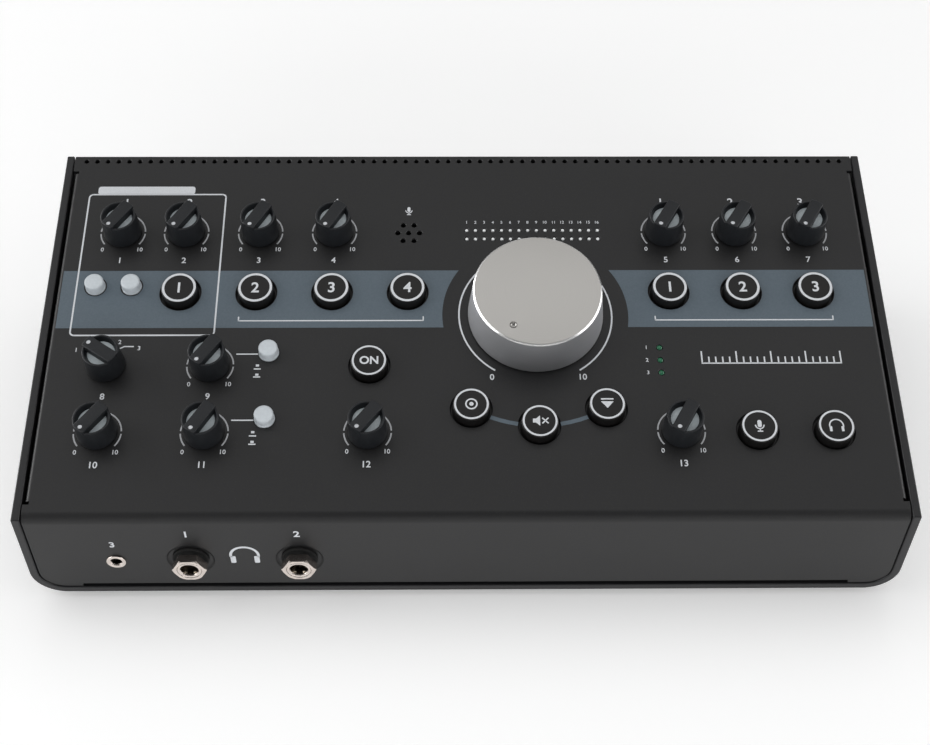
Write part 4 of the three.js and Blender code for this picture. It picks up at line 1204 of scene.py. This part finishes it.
def makeLinePrint():
    bm = arcShape(ink["volumeRadius"], ink["volumeWidth"], ink["volumeEnd"], 360 - ink["volumeEnd"],
                  inkLow, inkHigh)
    shift(bm, volumeSpot.x, volumeSpot.y)
    outlinePrint(bm)
    for number in (1, 2):
        capPrint(bm, number)
    row = buttonSpots["source_button_2"].y - ink["bracketDown"]
    reach = ink["bracketReach"]
    for first, last in (("source_button_2", "source_button_4"), ("output_button_1", "output_button_3")):
        bracket(bm, buttonSpots[first].x - reach, buttonSpots[last].x + reach, row)
    makePiece("linePrint", bm, toPanel, ["ink"], slot="cap_plastic")


def makeBandPrint():
    # two halves of the blue-grey band, cut round the large knob, and the arcs that link the three buttons
    reach = caseWidth / 2 - shell["wall"] - cover["groove"] - cover["sideBend"]
    depth, cutter = ink["bandDepth"], (-1, 1)
    bm = bmesh.new()
    for left, right in ((-reach, volumeSpot.x), (volumeSpot.x, reach)):
        half = blockShape(right - left, ink["bandHigh"] - ink["bandLow"], -depth, depth)
        addShape(bm, half, at((left + right) / 2, (ink["bandLow"] + ink["bandHigh"]) / 2))
    tools = shift(discShape(ink["bandCut"], *cutter, 160), volumeSpot.x, volumeSpot.y)
    for spots, radius in ((buttonSpots, cover["buttonHole"]), (capSpots, cover["capHole"])):
        for spot in spots.values():
            addShape(tools, discShape(radius + ink["bandGap"], *cutter, 64), at(spot.x, spot.y))
    bm = carved(bm, tools)
    mono, mute = buttonSpots["mono_button"] - volumeSpot, buttonSpots["mute_button"] - volumeSpot
    away = math.degrees(math.atan2(-mono.x, -mono.y))
    clear = math.degrees(ink["linkClear"] / mute.length)
    for start, end in ((clear, away - clear), (clear - away, -clear)):
        link = arcShape(mute.length, ink["linkWidth"], start, end, -depth, depth + 0.01)
        addShape(bm, link, at(volumeSpot.x, volumeSpot.y))
    makePiece("bandPrint", bm, toPanel, ["bandInk"], slot="cover_paint")


ruler = {"left": 88.0, "row": 63.0, "pitch": 2.6, "ticks": 21, "long": 5.2, "short": 2.8, "tick": 0.55,
         "line": 0.5}


def makeTickPrint(size):
    # a plain ruler of ticks, every fifth one long, in the place of a name
    bm = bmesh.new()
    for i in range(size["ticks"]):
        tall = size["short"] if i % 5 else size["long"]
        tick = blockShape(size["tick"], tall, inkLow, inkHigh)
        addShape(bm, tick, at(size["left"] + i * size["pitch"], size["row"] + tall / 2))
    length = (size["ticks"] - 1) * size["pitch"]
    line = blockShape(length + size["tick"], size["line"], inkLow, inkHigh)
    addShape(bm, line, at(size["left"] + length / 2, size["row"]))
    makePiece("tickPrint", bm, toPanel, ["ink"], slot="cap_plastic")


fasciaInk = {"number": 3.3, "numberHeight": 35.6, "small": 3.0, "smallHeight": 29.5, "signHeight": 22.6,
             "signScale": 2.0}


def makeFasciaPrint(size):
    bm = bmesh.new()
    for i, spot in enumerate(phonesSpots):
        addShape(bm, letterShape(str(i + 1), size["number"], inkLow, inkHigh, 0.12),
                 at(spot.x, size["numberHeight"]))
    addShape(bm, letterShape("3", size["small"], inkLow, inkHigh, 0.1), at(auxSpot.x, size["smallHeight"]))
    middle = (phonesSpots[0].x + phonesSpots[1].x) / 2
    addShape(bm, phonesSign(inkLow, inkHigh, size["signScale"]), at(middle, size["signHeight"]))
    makePiece("fasciaPrint", bm, toCase @ at(0, cover["fasciaInset"]) @ facing("front"), ["ink"],
              slot="cap_plastic")


makeScalePrint()
makeNumberPrint()
makeLinePrint()
makeBandPrint()
makeTickPrint(ruler)
makeFasciaPrint(fasciaInk)
print("stage: printed marks")

# Headphone sockets in front: black housing, plated threaded neck, hex nut and washer

jack = {
    "thread": 4.4,
    "bore": 3.2,
    "nose": 4.5,
    "boreDepth": 20.0,
    "bodyWidth": 15.5,
    "bodyDepth": 22.0,
    "nutFlats": 11.0,
    "nutThick": 3.2,
    "nutProud": 0.1,
    "washer": 6.6,
    "collar": 5.5,
    "washerThick": 1.0,
    "lineNut": 1.9,
    "lineWasher": 0.35,
}


def nutShape(size, thick):
    # hex nut along +Z with its outer face at zero, rounded at the corners
    corner, bore = size["nutFlats"] / 2 / math.cos(math.pi / 6), size["thread"] + 0.06
    points = [(corner * math.cos(math.tau * i / 6), corner * math.sin(math.tau * i / 6)) for i in range(6)]
    nut = meshObject("nut", prismShape(points, -thick, 0))
    carve(nut, turnedShape([(0, -thick), (corner - 0.1, -thick), (corner + 0.4, -thick + 0.4),
                            (corner + 0.4, -0.75), (corner - 0.65, 0.0), (0, 0)], 72), "INTERSECT")
    carve(nut, turnedShape([(0, -thick - 1), (bore, -thick - 1), (bore, -0.12), (bore + 0.24, 0.12),
                            (0, 0.12)], 48))
    return meshCopy(nut)


def neckShape(size, length):
    # threaded neck with its mouth at zero: thread crests outside, a chamfered bore inside
    thread, bore, pitch, crest = size["thread"], size["bore"], 0.75, 0.28
    outside = []
    for i in range(int((length - 0.8) / pitch)):
        foot = -length + i * pitch
        outside += [(thread - crest, foot), (thread, foot + pitch / 2)]
    mouth = [(thread - crest, -0.7), (thread, -0.55), (thread, -0.12), (thread - 0.12, 0),
             (bore + 0.3, 0, 0.1), (bore, -0.4)]
    return turnedShape([(bore, -length)] + outside + mouth, 56, closed=True)


def jackBore(size):
    return discShape(size["bore"] - 0.02, -size["boreDepth"], 1)


def makePhones(size):
    finishNames = ["nickel", "socket", "contact"]
    low, high = boxIn(fromCase, "phones_jack_1")
    dishFloor = cover["fasciaInset"] + cover["dishDepth"]
    bodyTop = -(low.y + 2 * size["nose"] + dishFloor + cover["sheet"] + 0.3)
    seat = dishFloor + size["nose"] + size["nutProud"] - size["nutThick"] - 0.02
    inner, outer, thick = size["thread"] + 0.1, size["washer"], size["washerThick"]
    for i, spot in enumerate(phonesSpots):
        front = toCase @ at(spot.x, 0, spot.z) @ facing("front")
        body = blockShape(size["bodyWidth"], high.z - low.z, bodyTop - size["bodyDepth"], bodyTop, 0.6, 3)
        shift(body, 0, (high.z + low.z) / 2 - spot.z)
        bm = carved(asFinish(body, 1), asFinish(jackBore(size), 1), finishNames=finishNames)
        addShape(bm, neckShape(size, 2 - bodyTop))
        for turn in (-35, 35):
            tongue = move(blockShape(1.1, 5.0, -6.5, -0.9, 0.2, 3), Matrix.Diagonal((1, 0.12, 1, 1)))
            addShape(bm, tongue, spun(turn) @ at(0, 0.42 - size["bore"]), finish=2)
        makePiece(f"phonesJack{i + 1}", bm, front @ at(0, 0, size["nose"]), finishNames,
                  slot="socket_plastic", stands=[f"phones_jack_{i + 1}"])
        makePiece(f"phonesNut{i + 1}", nutShape(size, size["nutThick"]),
                  front @ at(0, 0, size["nose"] + size["nutProud"]), ["nickel"], slot="nut_metal",
                  stands=[f"phones_nut_{i + 1}"], sharp=25)
        washer = turnedShape([(inner, 0.02), (outer, 0.02, 0.1), (outer, thick, 0.2), (size["collar"], thick),
                              (size["collar"], seat, 0.3), (inner, seat)], 48, closed=True)
        makePiece(f"phonesWasher{i + 1}", washer, front @ at(0, 0, -dishFloor), ["rubber"],
                  slot="foot_rubber")


aux = {"ring": 3.55, "proud": 0.6, "bore": 1.9, "body": 8.0, "depth": 14.0, "neck": 2.8, "neckDepth": 3.6}


def makeAux(size):
    finishNames = ["nickel", "socket"]
    low, high = boxIn(fromCase, "aux_jack")
    front = -(cover["fasciaInset"] + cover["sheet"] + 0.3)
    bore, neck, ring, proud = size["bore"], size["neck"], size["ring"], size["proud"]
    body = blockShape(size["body"], high.z - low.z, front - size["depth"], front, 0.5, 3)
    shift(body, 0, (high.z + low.z) / 2 - auxSpot.z)
    hole = discShape(bore - 0.02, -size["depth"], 2, 32)
    bm = carved(asFinish(body, 1), asFinish(hole, 1), finishNames=finishNames)
    collar = turnedShape([(bore, -size["neckDepth"]), (neck, -size["neckDepth"]), (neck, 0.05),
                          (ring, 0.05, 0.1), (ring, proud, 0.25), (bore + 0.4, proud, 0.15),
                          (bore, proud - 0.5)], 48, closed=True)
    addShape(bm, collar, at(0, 0, -cover["fasciaInset"]))
    makePiece("auxJack", bm, toCase @ at(*auxSpot) @ facing("front"), finishNames, slot="plated_steel",
              stands=["aux_jack"])


makePhones(jack)
makeAux(aux)
print("stage: front sockets")

# Rear panel and what it carries

rear = {
    "sheet": 1.5,
    "corner": 8.5,
    "lineHole": 4.75,
    "comboHole": 12.1,
    "inletHole": 4.9,
    "usbGap": 0.6,
    "switchHoleWidth": 19.2,
    "switchHoleHeight": 13.2,
    "screw": 2.9,
    "screwTall": 1.3,
    "screwInset": 7.0,
    "screwRows": (14.0, 58.0),
    "screwMiddles": ((-50.0, 58.0), (60.0, 58.0), (-30.0, 9.5), (40.0, 9.5)),
}
rearLow, rearHigh = boxIn(fromCase, "rear_panel")
rearFace = rearHigh.y
lineNodes = [f"line_jacks_{i}" for i in range(1, 7)]
lineRise = 17.0
lineSpots = [nodeAxis(node, socketHeight + rise) for node in lineNodes for rise in (0, lineRise)]
comboHeight = 31.0
comboSpots = [nodeAxis(node, comboHeight) for node in ("combo_jack_1", "combo_jack_2")]


def middleOf(node):
    low, high = boxIn(fromCase, node)
    return Vector(((low.x + high.x) / 2, 0, (low.z + high.z) / 2)), high - low


usbSpot, usbSize = middleOf("usb_port")
switchSpot, switchSize = middleOf("power_switch")
inletLow, inletHigh = boxIn(fromCase, "dc_inlet")
inletSpot = Vector(((inletLow.x + inletHigh.x) / 2, 0, inletLow.z + 7.0))
backwards = facing("back")
behind = toCase @ at(0, rearFace)


def atRear(spot):
    # a place on the rear panel's face, for shapes made along +Z
    return toCase @ at(spot.x, rearFace, spot.z) @ backwards


def rearCoords(spot):
    # where a rear spot lies in the drawing of a shape that is turned to face the back
    return spot.x, -spot.z


def makeRearPlate(size):
    low, high = rearLow, rearHigh
    plate = prismShape([(low.x, -high.z), (low.x, -low.z, size["corner"]), (high.x, -low.z, size["corner"]),
                        (high.x, -high.z)], -size["sheet"], 0)
    tools = bmesh.new()
    for spots, radius in ((lineSpots, size["lineHole"]), (comboSpots, size["comboHole"]),
                          ([inletSpot], size["inletHole"])):
        for spot in spots:
            addShape(tools, discShape(radius, -3, 1), at(*rearCoords(spot)))
    for spot, width, tall in ((usbSpot, usbSize.x + size["usbGap"], usbSize.z + size["usbGap"]),
                              (switchSpot, size["switchHoleWidth"], size["switchHoleHeight"])):
        addShape(tools, blockShape(width, tall, -3, 1, 0.6, 3), at(*rearCoords(spot)))
    piece = meshObject("rearPlate", plate, ["rear"])
    carve(piece, tools)
    finishPiece(piece, behind @ backwards, slot="rear_paint", stands=["rear_panel"], planes=True)


def screwShape(radius, tall):
    # low domed head with a cross recess, its underside at zero
    head = turnedShape([(0, 0), (radius, 0, 0.1), (radius, tall * 0.5, 0.2), (radius * 0.62, tall, 0.25),
                        (0, tall)], 36)
    bars = [blockShape(radius * 1.1, radius * 0.3, tall * 0.35, tall + 1) for turn in (0, 90)]
    return carved(head, bars[0], move(bars[1], spun(90)))


def makeRearScrews(size):
    bm = bmesh.new()
    columns = (rearLow.x + size["screwInset"], rearHigh.x - size["screwInset"])
    spots = [(x, z) for x in columns for z in size["screwRows"]] + list(size["screwMiddles"])
    for x, z in spots:
        addShape(bm, screwShape(size["screw"], size["screwTall"]), at(x, -z))
    makePiece("rearScrews", bm, behind @ backwards, ["screw"], slot="nut_metal")


def makeLinePairs(size):
    finishNames = ["socket", "nickel"]
    inner, outer, thick = size["thread"] + 0.1, size["washer"], size["lineWasher"]
    for k, node in enumerate(lineNodes):
        low, high = boxIn(fromCase, node)
        nose, middle = high.y - rearFace, (low.z + high.z) / 2
        rises = [middle - spot.z for spot in lineSpots[2 * k:2 * k + 2]]
        body = blockShape(high.x - low.x, high.z - low.z, low.y - high.y, -nose - 1.8, 0.5, 3)
        bores = bmesh.new()
        for rise in rises:
            addShape(bores, jackBore(size), at(0, rise))
        bm = carved(body, bores, finishNames=finishNames)
        for rise in rises:
            addShape(bm, neckShape(size, nose + 3.2), at(0, rise), finish=1)
            addShape(bm, nutShape(size, size["lineNut"]), at(0, rise, 2.2 - nose), finish=1)
            washer = turnedShape([(inner, 0.02), (outer, 0.02, 0.05), (outer, thick, 0.1), (inner, thick)],
                                 40, closed=True)
            addShape(bm, washer, at(0, rise, -nose), finish=1)
        place = toCase @ at((low.x + high.x) / 2, high.y, middle) @ backwards
        makePiece(pieceName(node), bm, place, finishNames, slot="socket_plastic", stands=[node], sharp=25)


combo = {"width": 26.0, "height": 31.0, "thick": 1.8, "corner": 3.0, "barrel": 11.8, "mouth": 10.2,
         "core": 7.4, "mouthDepth": 5.0, "pin": 1.25, "pinCircle": 5.3, "depth": 24.0, "block": 22.0,
         "plugBore": 3.2, "plugMouth": 4.0, "tabWidth": 5.0, "tabHeight": 3.0, "tabUp": 3.2, "screw": 2.4,
         "screwAcross": 9.7, "screwUp": 12.2}


def comboCore(size, floor):
    # the round insert with its middle bore and three pin holes
    core, depth = size["core"], size["depth"]
    body = turnedShape([(0, floor - 0.6), (core, floor - 0.6), (core, -0.2, 0.3), (0, -0.2)], 64)
    holes = turnedShape([(0, -depth), (size["plugBore"], -depth), (size["plugBore"], -1.0),
                         (size["plugMouth"], 0.4), (0, 0.4)], 48)
    for turn in (90, 210, 330):
        addShape(holes, discShape(size["pin"], floor - 0.2, 1, 24), spun(turn) @ at(size["pinCircle"], 0))
    return carved(body, holes)


def makeCombos(size):
    finishNames = ["socket", "nickel", "screw"]
    face, mouth, barrel = size["thick"], size["mouth"], size["barrel"]
    floor = face - size["mouthDepth"]
    for i, spot in enumerate(comboSpots):
        node = f"combo_jack_{i + 1}"
        foot = boxIn(fromCase, node)[0].z
        plate = blockShape(size["width"], size["height"], 0.02, face, size["corner"], 6)
        softenTop(plate, face, 0.35)
        opening = turnedShape([(0, -6), (barrel - 0.8, -6), (barrel - 0.8, face - 1.0),
                               (mouth + 0.3, face - 0.3), (mouth + 1.0, face + 0.4), (0, face + 0.4)], 72)
        bm = carved(plate, opening, finishNames=finishNames)
        addShape(bm, turnedShape([(mouth, -size["mouthDepth"]), (barrel, -size["mouthDepth"]), (barrel, -0.1),
                                  (mouth + 0.6, face - 0.5), (mouth, face - 0.8)], 72, closed=True))
        back = blockShape(size["block"], spot.z + barrel - foot, -size["depth"], floor - 0.8, 0.5, 3)
        addShape(bm, back, at(0, (spot.z - foot - barrel) / 2))
        addShape(bm, comboCore(size, floor))
        tab = blockShape(size["tabWidth"], size["tabHeight"], 0, face + 0.9, 0.5, 3)
        addShape(bm, tab, at(0, size["tabUp"] - size["height"] / 2), finish=1)
        for side in (-1, 1):
            place = at(side * size["screwAcross"], side * size["screwUp"], face)
            addShape(bm, screwShape(size["screw"], 1.0), place, finish=2)
        makePiece(pieceName(node), bm, atRear(spot), finishNames, slot="socket_plastic", stands=[node],
                  sharp=25)


usb = {"corner": 0.9, "wall": 0.6, "mouthDepth": 9.0, "tongueWidth": 5.6, "tongueTall": 3.2, "padWidth": 1.0,
       "padThick": 0.12, "padPitch": 2.5}


def makeUsb(size):
    finishNames = ["steel", "socket", "contact"]
    proud = boxIn(fromCase, "usb_port")[1].y - rearFace
    width, tall, floor = usbSize.x, usbSize.z, proud - size["mouthDepth"]
    body = blockShape(width, tall, proud - usbSize.y, proud, size["corner"], 4)
    mouth = blockShape(width - 2 * size["wall"], tall - 2 * size["wall"], floor, proud + 1, size["wall"], 4)
    bm = carved(body, mouth, finishNames=finishNames)
    tongue = blockShape(size["tongueWidth"], size["tongueTall"], floor - 0.4, proud - 1.2, 0.2, 2)
    addShape(bm, tongue, finish=1)
    padX, padY = size["padPitch"] / 2, size["tongueTall"] / 2 + 0.02
    for x, y in ((-padX, -padY), (padX, -padY), (-padX, padY), (padX, padY)):
        pad = blockShape(size["padWidth"], size["padThick"], floor + 1.5, proud - 1.7)
        addShape(bm, pad, at(x, y), finish=2)
    makePiece("usbPort", bm, atRear(usbSpot), finishNames, slot="plated_steel", stands=["usb_port"])


inlet = {"radius": 4.6, "bore": 3.1, "mouth": 3.4, "pin": 1.0}


def makeInlet(size):
    proud, radius, bore, pin = inletHigh.y - rearFace, size["radius"], size["bore"], size["pin"]
    foot = inletLow.y - rearFace
    box = blockShape(inletHigh.x - inletLow.x, inletHigh.z - inletLow.z, foot, -1.9, 0.4, 3)
    shift(box, 0, inletSpot.z - (inletLow.z + inletHigh.z) / 2)
    bm = carved(box, discShape(radius - 0.05, foot + 1.5, 1))
    addShape(bm, turnedShape([(bore, foot + 1.6), (radius, foot + 1.6), (radius, proud, 0.25),
                              (size["mouth"], proud, 0.2), (bore, proud - 0.5)], 48, closed=True))
    middle = [(0, foot + 1.2), (pin, foot + 1.2), (pin, proud - 1.6, 0.5), (0, proud - 1.4)]
    addShape(bm, turnedShape(middle, 24), finish=1)
    makePiece("dcInlet", bm, atRear(inletSpot), ["socket", "nickel"], slot="socket_plastic",
              stands=["dc_inlet"])


rocker = {"bezel": 1.6, "bezelCorner": 1.5, "housingWidth": 18.6, "housingHeight": 12.6, "width": 15.6,
          "radius": 5.3, "pivotDepth": 2.0, "face": 3.2, "swing": 8.0, "depth": 3.0, "edge": 0.5,
          "gap": 0.6}


def makeSwitch(size):
    face, foot = size["bezel"], size["bezel"] - switchSize.y
    bm = blockShape(switchSize.x, switchSize.z, 0.02, face, size["bezelCorner"], 5)
    softenTop(bm, face, 0.5)
    addShape(bm, blockShape(size["housingWidth"], size["housingHeight"], foot, 0.04, 0.5, 3))
    pocket = blockShape(size["width"] + size["gap"], 2 * size["radius"] + size["gap"],
                        face - size["pivotDepth"] - size["radius"] - size["gap"] / 2, face + 1, 0.3, 3)
    makePiece("powerSwitch", carved(bm, pocket), atRear(switchSpot), ["socket"], slot="socket_plastic",
              stands=["power_switch"])


def makeRocker(size):
    swing, face, depth = math.radians(size["swing"]), size["face"], size["depth"]
    edge = math.sqrt(size["radius"] ** 2 - depth ** 2)
    drop = edge * math.tan(swing)
    corners = [(-depth, -edge, 0.3), (0, -size["radius"], 0.8), (face, -edge, size["edge"]),
               (face - drop, 0, 0.6), (face, edge, size["edge"]), (0, size["radius"], 0.8),
               (-depth, edge, 0.3)]
    bm = prismShape(corners, -size["width"] / 2, size["width"] / 2, 5)
    move(bm, spun(90) @ facing("front"))
    level = face - drop / 2
    low, high = level - 0.1, level + 0.05
    bar, ring = blockShape(0.55, 2.6, low, high, 0.1, 2), arcShape(1.2, 0.5, 0, 360, low, high)
    for side, mark in ((1, bar), (-1, ring)):
        tilt = at(0, -side * edge / 2, level) @ Matrix.Rotation(-side * swing, 4, "X") @ at(0, 0, -level)
        addShape(bm, mark, facing("back") @ tilt, finish=1)
    pivot = Vector(next(joint for joint in frame["joints"] if joint["child"] == "power_rocker")["pos_m"])
    place = toCase @ at(*(fromCase @ pivot)) @ Matrix.Rotation(swing, 4, "X")
    makePiece("powerRocker", bm, place, ["button", "ink"], body="power_rocker", slot="rocker_plastic",
              stands=["power_rocker"])


def makeRearPrint():
    bm = bmesh.new()
    upright = spun(180)
    for i, spot in enumerate(lineSpots[::2]):
        x, y = rearCoords(spot)
        number = letterShape(str(i + 1), 2.6, inkLow, inkHigh, 0.06)
        addShape(bm, number, at(x, y - lineRise - 10.5) @ upright)
        addShape(bm, blockShape(0.5, 5.0, inkLow, inkHigh), at(x, y - lineRise / 2))
    for i, spot in enumerate(comboSpots):
        x, y = rearCoords(spot)
        addShape(bm, letterShape(str(i + 1), 3.0, inkLow, inkHigh, 0.08), at(x, y - 20) @ upright)
    x, y = rearCoords(inletSpot)
    addShape(bm, blockShape(3.0, 0.4, inkLow, inkHigh), at(x, y - 9.5))
    for step in (-1, 0, 1):
        addShape(bm, blockShape(0.7, 0.4, inkLow, inkHigh), at(x + step * 1.1, y - 8.6))
    makePiece("rearPrint", bm, behind @ backwards, ["ink"], slot="cap_plastic")


makeRearPlate(rear)
makeRearScrews(rear)
makeLinePairs(jack)
makeCombos(combo)
makeUsb(usb)
makeInlet(inlet)
makeSwitch(rocker)
makeRocker(rocker)
makeRearPrint()
print("stage: rear panel")

# Rubber feet with their screws

foot = {"radius": 8.0, "top": 8.6, "height": 4.0, "bore": 1.7, "recess": 4.0, "recessDepth": 2.2, "edge": 0.6}


def makeFeet(size):
    bottom, seat = -size["height"], size["recessDepth"] - size["height"]
    for name in [node for node in nodes if node.startswith("foot")]:
        low, high = boxIn(fromCase, name)
        x, y = (low.x + high.x) / 2, (low.y + high.y) / 2
        bm = turnedShape([(size["bore"], seat), (size["recess"], seat, 0.2), (size["recess"], bottom, 0.25),
                          (size["radius"], bottom, size["edge"]), (size["top"], -0.02, 0.2),
                          (size["bore"], -0.02)], 64, closed=True, rounds=4)
        makePiece(pieceName(name), bm, toCase @ at(x, y), ["rubber"], slot="foot_rubber", stands=[name])
        screw = move(screwShape(rear["screw"], rear["screwTall"]), Matrix.Rotation(math.pi, 4, "X"))
        makePiece(pieceName(name) + "Screw", screw, toCase @ at(x, y, seat - 0.02), ["screw"],
                  slot="nut_metal")


makeFeet(foot)

# Pieces inside keep their solids and get their finish


def dressNode(name, finishName):
    node = nodes[name]
    if node.material_slots:
        node.material_slots[0].material = finishes[finishName]
    else:
        node.data.materials.append(finishes[finishName])


for nodeName, finishName in (("control_board", "board"), ("main_board", "board"), ("talkback_mic", "felt"),
                             ("level_meter", "meterBody")):
    dressNode(nodeName, finishName)
print("stage: feet and inner pieces")

# Pale floor and soft studio light

studio = {"floor": 3.0, "floorTone": (0.96, 0.96, 0.96, 1.0), "floorLift": 0.22, "floorShine": 0.25,
          "fadeFrom": 0.45, "fadeTo": 1.5, "world": 0.45, "shine": 0.12}
# name, place, size and power of each softbox; the first kind lights the surfaces, the second is their sheen
softboxes = {
    "diffuse": [
        ("topLight", (0.0, 0.5, 1.4), (1.4, 1.1), 3.5),
        ("keyLight", (-0.9, 0.1, 1.1), (0.9, 0.9), 3.5),
        ("fillLight", (0.95, -0.3, 0.9), (0.9, 0.9), 1.2),
        ("frontLight", (0.05, -1.35, 0.35), (2.2, 0.8), 10.0),
    ],
    "glossy": [
        ("topGlow", (0.0, 0.45, 1.35), (1.7, 1.1), 5.0),
        ("leftGlow", (-1.2, 0.0, 0.5), (1.4, 0.8), 18.0),
        ("rightGlow", (1.2, 0.0, 0.5), (1.4, 0.8), 12.5),
        ("leftRim", (-1.25, 0.7, 0.2), (0.9, 0.35), 7.0),
        ("frontStrip", (0.0, -1.25, 0.41), (2.4, 0.1), 2.4),
        ("backGlow", (0.0, 1.6, 0.3), (2.6, 0.4), 5.0),
    ],
}


def addFloor(size):
    bm = bmesh.new()
    bmesh.ops.create_grid(bm, x_segments=1, y_segments=1, size=size["floor"])
    floor = meshObject("paleFloor", bm)
    material, tree, shader = newFinish("paleFloor", {"Base Color": size["floorTone"], "Roughness": 0.9,
                                                     "Specular IOR Level": 0.1,
                                                     "Emission Color": (1.0, 1.0, 1.0, 1.0)})
    rays = addNode(tree, "ShaderNodeLightPath")
    away = onObject(tree, "ShaderNodeVectorMath", operation="LENGTH")
    fade = addNode(tree, "ShaderNodeMapRange", {"From Min": size["fadeFrom"], "From Max": size["fadeTo"],
                                                "To Min": size["floorLift"], "To Max": 1.0})
    tree.links.new(away.outputs["Value"], fade.inputs["Value"])
    seen = addMath(tree, "MULTIPLY", rays.outputs["Is Camera Ray"], fade.outputs["Result"])
    mirrored = addMath(tree, "MULTIPLY", rays.outputs["Is Glossy Ray"], size["floorShine"])
    tree.links.new(addMath(tree, "ADD", seen, mirrored), shader.inputs["Emission Strength"])
    floor.data.materials.append(material)


def addWorld(size):
    world = bpy.data.worlds.new("studio")
    world.use_nodes = True
    scene.world = world
    tree = world.node_tree
    background = tree.nodes["Background"]
    background.inputs["Color"].default_value = (1.0, 1.0, 1.0, 1.0)
    rays = addNode(tree, "ShaderNodeLightPath")
    seen = addMath(tree, "MAXIMUM", rays.outputs["Is Camera Ray"], rays.outputs["Is Transmission Ray"])
    extra = addMath(tree, "MULTIPLY", seen, 1 - size["world"])
    shine = addMath(tree, "MULTIPLY", rays.outputs["Is Glossy Ray"], size["shine"] - size["world"])
    total = addMath(tree, "ADD", addMath(tree, "ADD", extra, shine), size["world"])
    tree.links.new(total, background.inputs["Strength"])


def addSoftbox(kind, name, place, size, power):
    data = bpy.data.lights.new(name, "AREA")
    data.shape = "RECTANGLE"
    data.size, data.size_y = size
    data.energy = power
    softbox = bpy.data.objects.new(name, data)
    softbox.location = place
    softbox.rotation_euler = (-Vector(place)).to_track_quat("-Z", "Y").to_euler()
    softbox.visible_glossy = kind == "glossy"
    softbox.visible_diffuse = kind == "diffuse"
    scene.collection.objects.link(softbox)


addFloor(studio)
addWorld(studio)
for kind, boxes in softboxes.items():
    for box in boxes:
        addSoftbox(kind, *box)
scene.view_settings.view_transform = "Standard"
print("stage: studio")
